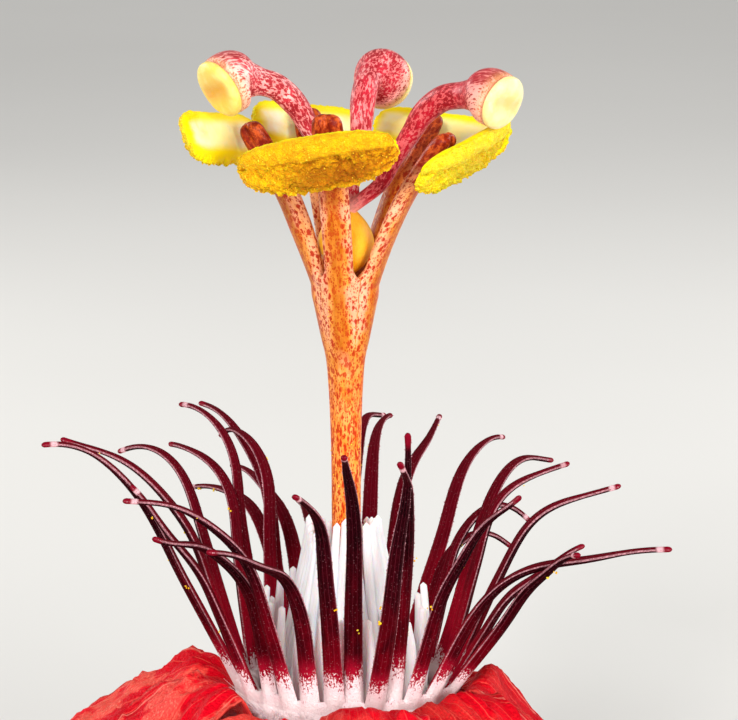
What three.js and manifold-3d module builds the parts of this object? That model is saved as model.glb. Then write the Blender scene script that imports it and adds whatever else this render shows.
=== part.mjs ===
// Passion flower: one open bloom with its receptacle and a short cut stalk, standing on its reflexed sepals.
// Millimetres, +Z up. The origin is on the surface it stands on, under the flower's axis.
import * as THREE from 'three';
import { mergeVertices } from 'three/addons/utils/BufferGeometryUtils.js';
import Module from 'manifold-3d';

const wasm = await Module();
wasm.setup();

// Heights on the axis
const CORONA_LEVEL = 23.5; // foot of the corona above the surface
const GAP = 0.3; // clearance between pieces that touch

// Receptacle and stalk, heights from the corona level
const CUP_TOP = -1.2;
const CUP_RADIUS = 9.4;
const CUP_DEPTH = 10.8;
const STALK_RADIUS = 1.6;
const STALK_END = -20.5;

// Tepals
const TEPAL_ROOT = 8.45; // distance of a tepal's root from the axis
const TEPAL_REACH = 47.5; // distance of its tip
const TEPAL_THICKNESS = 0.75;
const TEPAL_STEP = 36; // degrees between neighbours
const FIRST_SEPAL = -100; // degrees, 0 faces the viewer and 90 is +X
const SEPAL_WIDTH = 12.6;
const PETAL_WIDTH = 11.4;
const SEPAL_TIP_LEVEL = -23.45; // low enough for the tip's underside to lie flat on the surface
const PETAL_TIP_LEVEL = -21.6;
// Each tepal in order round: heights from the corona level near its root, at its crown and on its shoulder, and
// how far one side hangs below the other: the side further round, or with a minus the one before it
const TEPAL_LINES = [
  [0.6, 1.2, -3, 4.6],
  [1.5, 1.5, -4.4, 2.6],
  [0.1, 0.2, -5.5, 1],
  [1.2, 1.7, -5, -0.8],
  [1.2, 1.3, -5, -1.6],
  [1.4, -0.9, -11.5, -2.5],
  [-0.3, -1.6, -10, 1.2],
  [-0.4, -1.5, -7.6, -1.5],
  [-0.4, -1.4, -6.8, 1],
  [-0.4, -1.5, -6.6, -1.8],
];

// Outer corona
const OUTER_RING_RADIUS = 7.2;
const OUTER_RING_WIDTH = 1.5;
const RING_BOTTOM = CUP_TOP + GAP;
const OUTER_RING_TOP = 0.9;
const OUTER_BASE_WIDTH = 1.7;
const OUTER_TIP_WIDTH = 0.62;
const BEND_LENGTH = 0.55; // share of a filament's length that its bend takes
// Each filament: place round the ring, length, lean at the foot, angle from upright at the tip, where along it
// the bend is, and how far its heading swings round by the tip. Angles in degrees.
const OUTER_FILAMENTS = [
  [-46, 22.5, 12, 70, 0.5, 15],
  [-32, 24.5, 20, 75, 0.65, -35],
  [-20, 23.5, 11, 70, 0.45, -10],
  [-6, 24, 18, 70, 0.7, -10],
  [4, 24.5, 6, 75, 0.75, -10],
  [15, 26.5, 31, 20, 0.7, -10],
  [26, 28, 14, 55, 0.5, -40],
  [38, 22, 21, 50, 0.6, 5],
  [51, 25, 28, 80, 0.5, 25],
  [68, 21, 39, 70, 0.7, -55],
  [80, 15.5, 30, 60, 0.6, 10],
  [92, 21, 24, 80, 0.7, 0],
  [104, 20.5, 16, 90, 0.75, 15],
  [116, 23.5, 20, 110, 0.7, 35],
  [127, 17.5, 15, 130, 0.75, -20],
  [136, 15, 20, 120, 0.7, -20],
  [146, 24, 34, 105, 0.75, 10],
  [158, 23.5, 16, 80, 0.6, 5],
  [169, 23.5, 7, 100, 0.7, 0],
  [180, 25, 16, 105, 0.7, -20],
  [191, 20, 22, 95, 0.5, 0],
  [-158, 21, 22, 90, 0.6, 10],
  [-150, 23, 28, 100, 0.55, 0],
  [-141, 24, 9, 85, 0.7, 0],
  [-131, 23, 2, 140, 0.8, -20],
  [-121, 23.5, 9, 120, 0.85, -15],
  [-111, 22, 8, 105, 0.75, -35],
  [-101, 23, 18, 120, 0.8, -35],
  [-90, 24.5, 18, 70, 0.65, -5],
  [-79, 26, 27, 100, 0.85, 15],
  [-62, 19, 22, 40, 0.6, -30],
];

// Inner corona
const FLOOR_RADIUS = 6;
const FLOOR_TOP = 0.4;
const TALL_COUNT = 15;
const TALL_ROOT = 4.5;
const TALL_TIP = 2.15;
const TALL_HEIGHT = 12.9;
const TALL_FIRST = 3; // degrees
const SHORT_COUNT = 21;
const SHORT_ROOT = 5.55;
const SHORT_TIP = 5.75;
const SHORT_HEIGHT = 7;

// Column with its five stamen filaments
const COLUMN_FOOT = FLOOR_TOP + GAP;
const COLUMN_TOP = 30.4;
// Each stamen: place round the column, reach of its tip, height of its tip and how far its face is turned
// toward the viewer, in degrees
const STAMENS = [
  [-12, 6.2, 43, 0],
  [-84, 7, 41.7, 40],
  [-156, 7.2, 41.8, 0],
  [128, 8.2, 41.6, 0],
  [60, 8.5, 41.3, 0],
];
const STAMEN_WIDTH = 2.3;
const STAMEN_THICKNESS = 1.15;
const STAMEN_TURN_FROM = 0.15; // share of its length where its face starts to turn
const STAMEN_TURN_LENGTH = 0.4;

// Anthers
const ANTHER_LENGTH = 11.2;
const ANTHER_WIDTH = 4.3;
const ANTHER_THICKNESS = 1.9;
const ANTHER_BLUNTNESS = 0.85; // 1 is an ellipse, less is squarer at the ends
const ANTHER_BOW = 0.55; // how far its ends bend away from the axis
// Each anther: distance and height of its middle, slide along its length, turn from square to its filament,
// dip of its end and roll about its length
const ANTHER_POSES = [
  [7.4, 39.7, -0.4, 4, -10, 28],
  [9.1, 40.6, -0.1, -31, -8, 24],
  [8.95, 40, -0.9, 18, -9, 26],
  [9.4, 39.8, 0.7, 20, -3, 44],
  [9.8, 39.8, 0.1, -3, -10, 32],
];

// Ovary, styles and stigmas
const OVARY_FOOT = COLUMN_TOP + GAP;
const OVARY_HEIGHT = 4.9;
const OVARY_RADIUS = 2;
const STYLE_ROOT_RADIUS = 0.46;
const STYLE_NECK_RADIUS = 0.95;
const STYLE_HEAD_RADII = [2.2, 2.15, 2];
const STIGMA_DEPTH = 0.75;
// Points along each style, heights from the corona level
const STYLES = [
  [[-0.6, 0, 35.9], [-1, 0.2, 38], [-1.7, 0.1, 39.7], [-2.5, -0.1, 41.1], [-3.3, -0.4, 42.6],
    [-4, -0.8, 43.5], [-4.9, -1.4, 44.3], [-5.9, -2.1, 44.7], [-6.8, -2.6, 44.9], [-7.7, -3.1, 45],
    [-8.4, -3.6, 44.6]],
  [[0.45, 0.9, 35.9], [0.4, 1.3, 38.2], [1, 1.6, 40.1], [1.1, 1.8, 41.4], [1.2, 2.3, 42.7],
    [1.4, 3.2, 43.6], [1.7, 4.6, 44.1], [2.3, 5.8, 44.2], [2.7, 6.6, 43.8]],
  [[1, -0.65, 36.1], [2.5, -0.3, 37.3], [3.4, -0.1, 38.9], [4, -0.1, 39.9], [4.7, -0.3, 41],
    [5.3, -0.8, 42.1], [6, -1.4, 42.9], [6.9, -2.3, 43.6], [8, -3.3, 43.9], [9, -4.5, 44.1],
    [9.8, -5.4, 44.2], [10.5, -6, 43.9]],
];

const radians = THREE.MathUtils.degToRad;
const lerp = THREE.MathUtils.lerp;
const clamp = THREE.MathUtils.clamp;
const smooth = (t) => THREE.MathUtils.smoothstep(t, 0, 1);
const up = new THREE.Vector3(0, 0, 1);

function material(colour, roughness) {
  return new THREE.MeshStandardMaterial({ color: colour, roughness, metalness: 0 });
}

// A repeatable draw from 0 to 1
function seeded(seed) {
  let state = seed;
  return () => {
    state = (state * 1664525 + 1013904223) % 4294967296;
    return state / 4294967296;
  };
}

// The direction away from the axis at a place round it: 0 faces the viewer, 90 is +X
function outward(degrees) {
  const angle = radians(degrees);
  return new THREE.Vector3(Math.sin(angle), -Math.cos(angle), 0);
}

// The level direction square to outward
function sideways(degrees) {
  const angle = radians(degrees);
  return new THREE.Vector3(Math.cos(angle), Math.sin(angle), 0);
}

function piecewise(stations, t) {
  let i = 0;
  while (i < stations.length - 2 && t > stations[i + 1][0]) i += 1;
  const [t0, a] = stations[i];
  const [t1, b] = stations[i + 1];
  return lerp(a, b, clamp((t - t0) / (t1 - t0), 0, 1));
}

// A closed limb: a capped cylinder whose rings are laid along a path.
// station(t) gives the ring's centre, its side and face directions and its two half sizes.
function limb(sides, steps, station) {
  const geometry = new THREE.CylinderGeometry(1, 1, 1, sides, steps);
  const points = geometry.attributes.position;
  for (let i = 0; i < points.count; i += 1) {
    const t = clamp(points.getY(i) + 0.5, 0, 1);
    const { centre, side, face, half, depth } = station(t);
    const place = centre.clone();
    place.addScaledVector(side, points.getX(i) * half);
    place.addScaledVector(face, points.getZ(i) * depth);
    points.setXYZ(i, place.x, place.y, place.z);
  }
  return facingOut(geometry);
}

// Only positions, shared between faces, with the faces turned outward
function facingOut(geometry) {
  geometry.deleteAttribute('normal');
  geometry.deleteAttribute('uv');
  const merged = mergeVertices(geometry, 1e-4);
  const p = merged.attributes.position;
  const index = merged.index;
  const corners = [new THREE.Vector3(), new THREE.Vector3(), new THREE.Vector3()];
  let volume = 0;
  for (let i = 0; i < index.count; i += 3) {
    corners.forEach((corner, k) => corner.fromBufferAttribute(p, index.getX(i + k)));
    volume += corners[0].dot(corners[1].clone().cross(corners[2]));
  }
  if (volume < 0) {
    for (let i = 0; i < index.count; i += 3) {
      const first = index.getX(i);
      index.setX(i, index.getX(i + 1));
      index.setX(i + 1, first);
    }
  }
  return merged;
}

function solid(geometry) {
  return new wasm.Manifold(new wasm.Mesh({
    numProp: 3,
    vertProperties: new Float32Array(geometry.attributes.position.array),
    triVerts: new Uint32Array(geometry.index.array),
  }));
}

// Joins overlapping geometries into one closed body
function fused(geometries) {
  const joined = geometries.map(solid).reduce((a, b) => a.add(b));
  const mesh = joined.getMesh();
  const geometry = new THREE.BufferGeometry();
  geometry.setAttribute('position', new THREE.BufferAttribute(new Float32Array(mesh.vertProperties), 3));
  geometry.setIndex(new THREE.BufferAttribute(new Uint32Array(mesh.triVerts), 1));
  return geometry;
}

// A body of revolution about +Z from [radius, height] pairs, starting and ending on the axis
function turned(profile, sides) {
  const geometry = new THREE.LatheGeometry(profile.map(([r, z]) => new THREE.Vector2(r, z)), sides);
  geometry.rotateX(Math.PI / 2);
  return facingOut(geometry);
}

function receptacle() {
  const bottom = CUP_TOP - CUP_DEPTH;
  return turned([
    [0, CUP_TOP],
    [CUP_RADIUS - 0.5, CUP_TOP],
    [CUP_RADIUS, CUP_TOP - 0.6],
    [CUP_RADIUS * 0.97, CUP_TOP - 3],
    [CUP_RADIUS * 0.84, CUP_TOP - 6.2],
    [CUP_RADIUS * 0.58, bottom + 1.9],
    [CUP_RADIUS * 0.3, bottom + 0.4],
    [STALK_RADIUS * 1.15, bottom - 0.8],
    [STALK_RADIUS, bottom - 2.6],
    [STALK_RADIUS * 1.06, STALK_END],
    [0, STALK_END],
  ], 20);
}

// Height of a tepal's middle line over the distance from the axis: it rises to its crown and then falls away
function tepalLine([rise, crown, shoulder], tipLevel, lies) {
  const points = [
    [TEPAL_ROOT, CUP_TOP + GAP + TEPAL_THICKNESS / 2],
    [10, rise],
    [12.2, crown],
    [15.5, lerp(crown, shoulder, 0.36)],
    [20.5, shoulder],
    [30, lerp(shoulder, tipLevel, lies ? 0.46 : 0.42)],
    [38, lerp(shoulder, tipLevel, lies ? 0.83 : 0.74)],
    [lies ? 42.3 : 43.5, lerp(shoulder, tipLevel, lies ? 1 : 0.93)],
    [TEPAL_REACH, tipLevel],
  ];
  return new THREE.CatmullRomCurve3(points.map(([r, z]) => new THREE.Vector3(r, 0, z)), false, 'centripetal');
}

// A wavy blade, its two faces cut into the same triangles
function tepal(place, row, width, tipLevel, lies, draw) {
  const rows = 11;
  const columns = 6;
  const line = tepalLine(row, tipLevel, lies);
  const hang = Math.abs(row[3]);
  const hangingSide = Math.sign(row[3]);
  const phase = draw() * Math.PI * 2;
  const twist = draw() - 0.5;
  const radial = outward(place);
  const across = sideways(place);
  const vertices = [];
  const indices = [];
  for (const face of [1, -1]) {
    for (let i = 0; i <= rows; i += 1) {
      const u = i / rows;
      const middle = line.getPointAt(u);
      const tangent = line.getTangentAt(u);
      const span = clamp((middle.x - TEPAL_ROOT) / (TEPAL_REACH - TEPAL_ROOT), 0, 1);
      const bladeHalf = (width / 2) * Math.sqrt(clamp((1 - span) * 2.6, 0, 1)) * (1 - 0.25 * span ** 4);
      const wedgeHalf = middle.x * Math.tan(radians(TEPAL_STEP / 2)) - 0.28;
      const half = Math.max(0.55, Math.min(bladeHalf, wedgeHalf));
      const free = smooth((span - 0.1) / 0.35) * (1 - smooth((span - 0.72) / 0.2));
      const hung = smooth((span - 0.02) / 0.14) * (1 - smooth((span - 0.4) / 0.4));
      for (let j = 0; j <= columns; j += 1) {
        const v = (j / columns) * 2 - 1;
        const wave = 0.75 * free * v * v * Math.sin(u * 15 + phase + v * 0.9);
        const drop = hang * hung * (0.5 + 0.5 * hangingSide * v);
        const lift = wave - 0.9 * free * v * v + 0.5 * free * twist * v - drop;
        const thick = (TEPAL_THICKNESS / 2) * face;
        const x = middle.x - tangent.z * thick;
        let z = CORONA_LEVEL + middle.z + lift + tangent.x * thick;
        if (lies) z = face > 0 ? Math.max(z, TEPAL_THICKNESS) : Math.max(z, 0);
        const point = radial.clone().multiplyScalar(x).addScaledVector(across, half * v);
        vertices.push(point.x, point.y, z);
      }
    }
  }
  const stride = columns + 1;
  const under = (rows + 1) * stride;
  const quad = (a, b, c, d) => indices.push(a, b, c, a, c, d);
  for (let i = 0; i < rows; i += 1) {
    for (let j = 0; j < columns; j += 1) {
      const a = i * stride + j;
      const b = a + stride;
      indices.push(a, b, b + 1, a, b + 1, a + 1);
      indices.push(under + a, under + b + 1, under + b, under + a, under + a + 1, under + b + 1);
    }
    const left = i * stride;
    const right = left + columns;
    quad(left, under + left, under + left + stride, left + stride);
    quad(right, right + stride, under + right + stride, under + right);
  }
  const last = rows * stride;
  for (let j = 0; j < columns; j += 1) {
    quad(j, j + 1, under + j + 1, under + j);
    quad(last + j, under + last + j, under + last + j + 1, last + j + 1);
  }
  const geometry = new THREE.BufferGeometry();
  geometry.setAttribute('position', new THREE.Float32BufferAttribute(vertices, 3));
  geometry.setIndex(indices);
  return facingOut(geometry);
}

// A flat ring or, with no inner radius, a disc
function ring(inner, outer, bottom, top, sides) {
  const shape = new THREE.Shape().absarc(0, 0, outer, 0, Math.PI * 2);
  if (inner > 0) shape.holes.push(new THREE.Path().absarc(0, 0, inner, 0, Math.PI * 2));
  const geometry = new THREE.ExtrudeGeometry(shape, {
    depth: top - bottom,
    bevelEnabled: false,
    curveSegments: sides,
  });
  geometry.translate(0, 0, bottom);
  return facingOut(geometry);
}

// Walks an outer filament from its foot: the lean passes into the droop round the bend
function filamentPath([place, length, lean, droop, bend, swing]) {
  const steps = 48;
  const path = [];
  const at = outward(place).multiplyScalar(OUTER_RING_RADIUS);
  for (let i = 0; i <= steps; i += 1) {
    const t = i / steps;
    const turn = smooth((t - bend) / BEND_LENGTH + 0.5);
    const tilt = radians(lerp(lean, droop, turn));
    const heading = place + swing * t;
    const along = outward(heading).multiplyScalar(Math.sin(tilt)).addScaledVector(up, Math.cos(tilt));
    path.push({ centre: at.clone(), side: sideways(heading), along });
    at.addScaledVector(along, length / steps);
  }
  return path;
}

function outerFilament(row) {
  const path = filamentPath(row);
  const widths = [[0, 1], [0.3, 0.82], [0.6, 0.62], [0.88, 0.36], [0.95, 0.4], [1, 0.3]];
  return limb(6, 9, (t) => {
    const { centre, side, along } = path[Math.round(t * (path.length - 1))];
    const half = Math.max(OUTER_TIP_WIDTH, OUTER_BASE_WIDTH * piecewise(widths, t)) / 2;
    const depth = Math.max(0.34, half * 0.8);
    return { centre, side, face: side.clone().cross(along), half, depth };
  });
}

function outerCorona() {
  const half = OUTER_RING_WIDTH / 2;
  const base = ring(OUTER_RING_RADIUS - half, OUTER_RING_RADIUS + half, RING_BOTTOM, OUTER_RING_TOP, 20);
  return fused([base, ...OUTER_FILAMENTS.map(outerFilament)]);
}

// A white filament in its own radial plane, from its root to its tip with a slight inward bow
function innerFilament(place, root, tip, height, width) {
  const radial = outward(place);
  const side = sideways(place);
  return limb(5, 5, (t) => {
    const reach = lerp(root, tip, smooth(t)) + 0.25 * Math.sin(Math.PI * t);
    const centre = radial.clone().multiplyScalar(reach).addScaledVector(up, lerp(0, height, t));
    const half = (width / 2) * piecewise([[0, 1], [0.55, 0.8], [0.85, 0.46], [1, 0.3]], t);
    return { centre, side, face: radial, half: Math.max(half, 0.3), depth: 0.34 };
  });
}

function innerCorona() {
  const draw = seeded(11);
  const pieces = [ring(0, FLOOR_RADIUS, RING_BOTTOM, FLOOR_TOP, 14)];
  for (let i = 0; i < TALL_COUNT; i += 1) {
    const place = TALL_FIRST + (360 / TALL_COUNT) * (i + 0.5 + 0.12 * (draw() - 0.5));
    const height = TALL_HEIGHT + 1.6 * (draw() - 0.6);
    pieces.push(innerFilament(place, TALL_ROOT, TALL_TIP + 0.5 * draw(), height, 1.9));
  }
  for (let i = 0; i < SHORT_COUNT; i += 1) {
    const place = (360 / SHORT_COUNT) * (i + 0.35 * (draw() - 0.5));
    const height = SHORT_HEIGHT + 2.4 * (draw() - 0.5);
    pieces.push(innerFilament(place, SHORT_ROOT, SHORT_TIP + 0.5 * (draw() - 0.5), height, 1.35));
  }
  return fused(pieces);
}

// A strap-shaped stamen filament that leaves the column, leans out and ends in a two-lobed knob
function stamen([place, reach, height, turn]) {
  const radial = outward(place);
  const line = new THREE.CatmullRomCurve3([
    [0.8, 25.4],
    [1.25, 27.4],
    [1.75, 29.4],
    [lerp(2.0, reach, 0.05), 31.2],
    [lerp(2.0, reach, 0.22), 33.9],
    [lerp(2.0, reach, 0.46), 36.9],
    [lerp(2.0, reach, 0.76), 39.6],
    [reach, height],
  ].map(([r, z]) => new THREE.Vector3(r, 0, z)));
  return limb(8, 10, (t) => {
    const middle = line.getPointAt(t);
    const tangent = line.getTangentAt(t);
    const centre = radial.clone().multiplyScalar(middle.x).addScaledVector(up, middle.z);
    const along = radial.clone().multiplyScalar(tangent.x).addScaledVector(up, tangent.z);
    const twist = radians(turn) * smooth((t - STAMEN_TURN_FROM) / STAMEN_TURN_LENGTH);
    const side = sideways(place).applyAxisAngle(along, twist);
    const half = (STAMEN_WIDTH / 2) * piecewise([[0, 0.6], [0.35, 0.92], [0.75, 1], [0.9, 0.98], [1, 0.74]], t);
    const depth = (STAMEN_THICKNESS / 2) * piecewise([[0, 0.9], [0.8, 1], [0.93, 1.15], [1, 0.8]], t);
    return { centre, side, face: side.clone().cross(along), half, depth };
  });
}

function column() {
  const shaft = turned([
    [0, COLUMN_FOOT],
    [1.3, COLUMN_FOOT],
    [1.15, 3],
    [1.12, 13],
    [1.14, 17],
    [1.18, 20.4],
    [1.24, 22.4],
    [1.42, 24.7],
    [1.75, 26.2],
    [2.18, 28.3],
    [2.5, COLUMN_TOP - 0.5],
    [2.4, COLUMN_TOP],
    [0, COLUMN_TOP],
  ], 12);
  return fused([shaft, ...STAMENS.map(stamen)]);
}

// A boat-shaped anther across the outer side of its filament's tip
function anther(index) {
  const place = STAMENS[index][0];
  const [distance, height, slide, turn, dip, roll] = ANTHER_POSES[index];
  const geometry = new THREE.SphereGeometry(1, 12, 8);
  const points = geometry.attributes.position;
  for (let i = 0; i < points.count; i += 1) {
    const x = points.getY(i);
    const y = points.getX(i);
    const z = points.getZ(i);
    const blunt = Math.sign(x) * Math.abs(x) ** ANTHER_BLUNTNESS;
    const fuller = Math.max(Math.hypot(y, z), 1e-6) ** (ANTHER_BLUNTNESS - 1);
    points.setXYZ(
      i,
      (blunt * ANTHER_LENGTH) / 2,
      (y * fuller * ANTHER_THICKNESS) / 2 + ANTHER_BOW * x * x,
      (z * fuller * ANTHER_WIDTH) / 2,
    );
  }
  geometry.rotateX(radians(roll));
  geometry.rotateY(radians(dip));
  geometry.rotateZ(radians(place + turn));
  const centre = outward(place).multiplyScalar(distance).addScaledVector(sideways(place), slide);
  geometry.translate(centre.x, centre.y, height);
  return facingOut(geometry);
}

function ovary() {
  const shape = [[0, 0.45], [0.15, 0.68], [0.32, 0.86], [0.52, 1], [0.7, 0.9], [0.88, 0.7], [1, 0.62]];
  const profile = shape.map(([h, r]) => [r * OVARY_RADIUS, OVARY_FOOT + h * OVARY_HEIGHT]);
  return turned([[0, OVARY_FOOT], ...profile, [0, OVARY_FOOT + OVARY_HEIGHT]], 16);
}

function styleLine(points) {
  return new THREE.CatmullRomCurve3(points.map(([x, y, z]) => new THREE.Vector3(x, y, z)));
}

// A style thickens to its neck and flares into a club
function style(points, guide, head) {
  const line = styleLine(points);
  const radii = [
    [0, STYLE_ROOT_RADIUS],
    [0.3, STYLE_ROOT_RADIUS * 1.25],
    [0.6, STYLE_NECK_RADIUS * 0.95],
    [0.8, STYLE_NECK_RADIUS],
    [0.87, head * 0.6],
    [0.93, head * 0.93],
    [0.965, head],
    [1, head * 0.97],
  ];
  return limb(9, 16, (t) => {
    const along = line.getTangentAt(t);
    const side = guide.clone().cross(along).normalize();
    const radius = piecewise(radii, t);
    return { centre: line.getPointAt(t), side, face: side.clone().cross(along), half: radius, depth: radius };
  });
}

// A pale domed cap on the end of a style's club
function stigma(points, head) {
  const line = styleLine(points);
  const along = line.getTangentAt(1);
  const cap = turned([
    [0, GAP],
    [head * 0.96, GAP],
    [head, GAP + STIGMA_DEPTH * 0.35],
    [head * 0.8, GAP + STIGMA_DEPTH * 0.78],
    [head * 0.42, GAP + STIGMA_DEPTH * 0.97],
    [0, GAP + STIGMA_DEPTH],
  ], 12);
  cap.applyQuaternion(new THREE.Quaternion().setFromUnitVectors(up, along));
  const end = line.getPointAt(1);
  cap.translate(end.x, end.y, end.z);
  return cap;
}

const green = material('#7f8f3c', 0.6);
const scarlet = material('#d8161f', 0.55);
const crimson = material('#c81420', 0.55);
const maroon = material('#3a0712', 0.6);
const white = material('#f1edf0', 0.55);
const orange = material('#f09a4a', 0.45);
const yellow = material('#efc21c', 0.7);
const amber = material('#f2c53a', 0.4);
const pink = material('#c4566c', 0.45);
const cream = material('#f5e9a6', 0.5);

const flower = new THREE.Group();
const onCorona = new THREE.Group();
onCorona.position.z = CORONA_LEVEL;
flower.add(onCorona);

function put(group, name, geometry, look) {
  const mesh = new THREE.Mesh(geometry, look);
  mesh.name = name;
  group.add(mesh);
}

put(onCorona, 'receptacle', receptacle(), green);
const tepalDraw = seeded(5);
TEPAL_LINES.forEach((row, i) => {
  const place = FIRST_SEPAL + TEPAL_STEP * i;
  const number = Math.floor(i / 2) + 1;
  const isSepal = i % 2 === 0;
  const geometry = isSepal
    ? tepal(place, row, SEPAL_WIDTH, SEPAL_TIP_LEVEL, true, tepalDraw)
    : tepal(place, row, PETAL_WIDTH, PETAL_TIP_LEVEL, false, tepalDraw);
  put(flower, `${isSepal ? 'sepal' : 'petal'}_${number}`, geometry, isSepal ? crimson : scarlet);
});
put(onCorona, 'outer_corona', outerCorona(), maroon);
put(onCorona, 'inner_corona', innerCorona(), white);
put(onCorona, 'column', column(), orange);
STAMENS.forEach((row, i) => put(onCorona, `anther_${i + 1}`, anther(i), yellow));
put(onCorona, 'ovary', ovary(), amber);
const guides = [new THREE.Vector3(0, 1, 0), new THREE.Vector3(1, 0, 0), new THREE.Vector3(0, 1, 0)];
STYLES.forEach((points, i) => {
  put(onCorona, `style_${i + 1}`, style(points, guides[i], STYLE_HEAD_RADII[i]), pink);
  put(onCorona, `stigma_${i + 1}`, stigma(points, STYLE_HEAD_RADII[i]), cream);
});

export default flower;
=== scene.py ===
import bpy
import numpy as np
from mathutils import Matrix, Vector, noise


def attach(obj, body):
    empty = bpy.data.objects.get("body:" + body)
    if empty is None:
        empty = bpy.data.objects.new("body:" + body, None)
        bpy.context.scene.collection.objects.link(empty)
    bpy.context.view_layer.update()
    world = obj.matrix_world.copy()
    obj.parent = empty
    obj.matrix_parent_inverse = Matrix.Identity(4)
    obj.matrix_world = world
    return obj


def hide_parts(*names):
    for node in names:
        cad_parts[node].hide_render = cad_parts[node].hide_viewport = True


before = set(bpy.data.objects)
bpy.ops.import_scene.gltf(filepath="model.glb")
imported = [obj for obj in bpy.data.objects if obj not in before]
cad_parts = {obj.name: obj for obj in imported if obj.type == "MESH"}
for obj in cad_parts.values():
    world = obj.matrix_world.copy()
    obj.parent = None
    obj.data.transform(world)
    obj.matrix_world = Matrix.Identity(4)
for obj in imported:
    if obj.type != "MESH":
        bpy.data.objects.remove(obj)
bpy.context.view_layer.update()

mm = 0.001
coronaLevel = 23.5
gap = 0.3
up = np.array([0.0, 0.0, 1.0])

# the camera stands where the photograph's did
view = dict(
    target=(1.64, 0.0, 48.0), distance=246.0, elevation=11.5, lens=168.0, sensor=36, near=0.01, far=20,
)


def addObject(name, data):
    made = bpy.data.objects.new(name, data)
    bpy.context.collection.objects.link(made)
    return made


def facing(direction):
    # the turn of a camera or lamp whose back is toward the direction
    return Vector(direction).to_track_quat("Z", "Y").to_euler()


def addCamera():
    camera = addObject("camera", bpy.data.cameras.new("camera"))
    rise = np.radians(view["elevation"])
    back = Vector((0, -np.cos(rise), np.sin(rise)))
    camera.location = (Vector(view["target"]) + back * view["distance"]) * mm
    camera.rotation_euler = facing(back)
    camera.data.lens = view["lens"]
    camera.data.sensor_width = view["sensor"]
    camera.data.clip_start = view["near"]
    camera.data.clip_end = view["far"]
    bpy.context.scene.camera = camera


addCamera()
print("camera set")


# small helpers for shader nodes
def addNode(tree, kind, wires=None, **settings):
    made = tree.nodes.new(kind)
    for key, value in settings.items():
        setattr(made, key, value)
    for key, value in (wires or {}).items():
        if isinstance(value, bpy.types.NodeSocket):
            tree.links.new(value, made.inputs[key])
        else:
            made.inputs[key].default_value = value
    return made


def calc(tree, operation, first, second=0.0, clamp=False):
    made = addNode(tree, "ShaderNodeMath", {0: first, 1: second}, operation=operation, use_clamp=clamp)
    return made.outputs[0]


def halfPlus(tree, value, share):
    # a half, and on top of it the value times the share
    return addNode(tree, "ShaderNodeMath", {0: value, 1: share, 2: 0.5}, operation="MULTIPLY_ADD").outputs[0]


def vectorCalc(tree, operation, first, second):
    key = "Scale" if operation == "SCALE" else 1
    return addNode(tree, "ShaderNodeVectorMath", {0: first, key: second}, operation=operation).outputs[0]


def fade(tree, value, start, end, low=0.0, high=1.0):
    # low before start, high after end, with a soft step between
    wires = {"Value": value, "From Min": start, "From Max": end, "To Min": low, "To Max": high}
    return addNode(tree, "ShaderNodeMapRange", wires, interpolation_type="SMOOTHSTEP").outputs[0]


def tone(red, green, blue):
    # a colour as a screen shows it, 0 to 255, as the shader's linear one
    scaled = [c / 255 for c in (red, green, blue)]
    return tuple(c / 12.92 if c < 0.04 else ((c + 0.055) / 1.055) ** 2.4 for c in scaled) + (1.0,)


def newGroup(name, **inputs):
    # a pattern takes a place, a size and how much longer it is along the third direction, and gives a mask
    group = bpy.data.node_groups.new(name, "ShaderNodeTree")
    group.interface.new_socket("Place", in_out="INPUT", socket_type="NodeSocketVector")
    for label, value in inputs.items():
        socket = group.interface.new_socket(label, in_out="INPUT", socket_type="NodeSocketFloat")
        socket.default_value = value
    group.interface.new_socket("Mask", in_out="OUTPUT", socket_type="NodeSocketFloat")
    given = group.nodes.new("NodeGroupInput").outputs
    made = group.nodes.new("NodeGroupOutput").inputs
    long = calc(group, "MULTIPLY", given["Size"], given["Stretch"])
    cell = addNode(group, "ShaderNodeCombineXYZ", {0: given["Size"], 1: given["Size"], 2: long}).outputs[0]
    return group, given, vectorCalc(group, "DIVIDE", given["Place"], cell), made["Mask"]


def makeClouds():
    group, given, place, mask = newGroup("clouds", Size=1.0, Stretch=1.0, Low=0.4, High=0.6)
    wires = {"Vector": place, "Scale": 1.0, "Detail": 4.0, "Roughness": 0.55}
    value = addNode(group, "ShaderNodeTexNoise", wires).outputs[0]
    group.links.new(fade(group, value, given["Low"], given["High"]), mask)
    return group


def makeSpots():
    group, given, place, mask = newGroup("spots", Size=0.6, Stretch=2.0, Cover=0.3, Ragged=0.5)
    wander = addNode(group, "ShaderNodeTexNoise", {"Vector": place, "Scale": 2.1, "Detail": 2.0}).outputs[1]
    wander = vectorCalc(group, "SUBTRACT", wander, (0.5, 0.5, 0.5))
    wander = vectorCalc(group, "SCALE", wander, given["Ragged"])
    place = vectorCalc(group, "ADD", place, wander)
    cells = addNode(group, "ShaderNodeTexVoronoi", {"Vector": place, "Scale": 1.0})
    luck = addNode(group, "ShaderNodeSeparateColor", {0: cells.outputs["Color"]}).outputs[0]
    size = calc(group, "MULTIPLY", given["Cover"], halfPlus(group, luck, 1.1))
    size = calc(group, "ADD", size, calc(group, "MULTIPLY", given["Cover"], 0.35))
    outer = calc(group, "MULTIPLY", size, 1.25)
    inner = calc(group, "MULTIPLY", size, 0.75)
    group.links.new(fade(group, cells.outputs["Distance"], inner, outer, 1.0, 0.0), mask)
    return group


def makeGrain():
    group, given, place, mask = newGroup("grain", Size=0.1, Stretch=1.0, Fullness=0.5)
    cells = addNode(group, "ShaderNodeTexVoronoi", {"Vector": place, "Scale": 1.0})
    group.links.new(fade(group, cells.outputs["Distance"], 0.0, given["Fullness"], 1.0, 0.0), mask)
    return group


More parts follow.
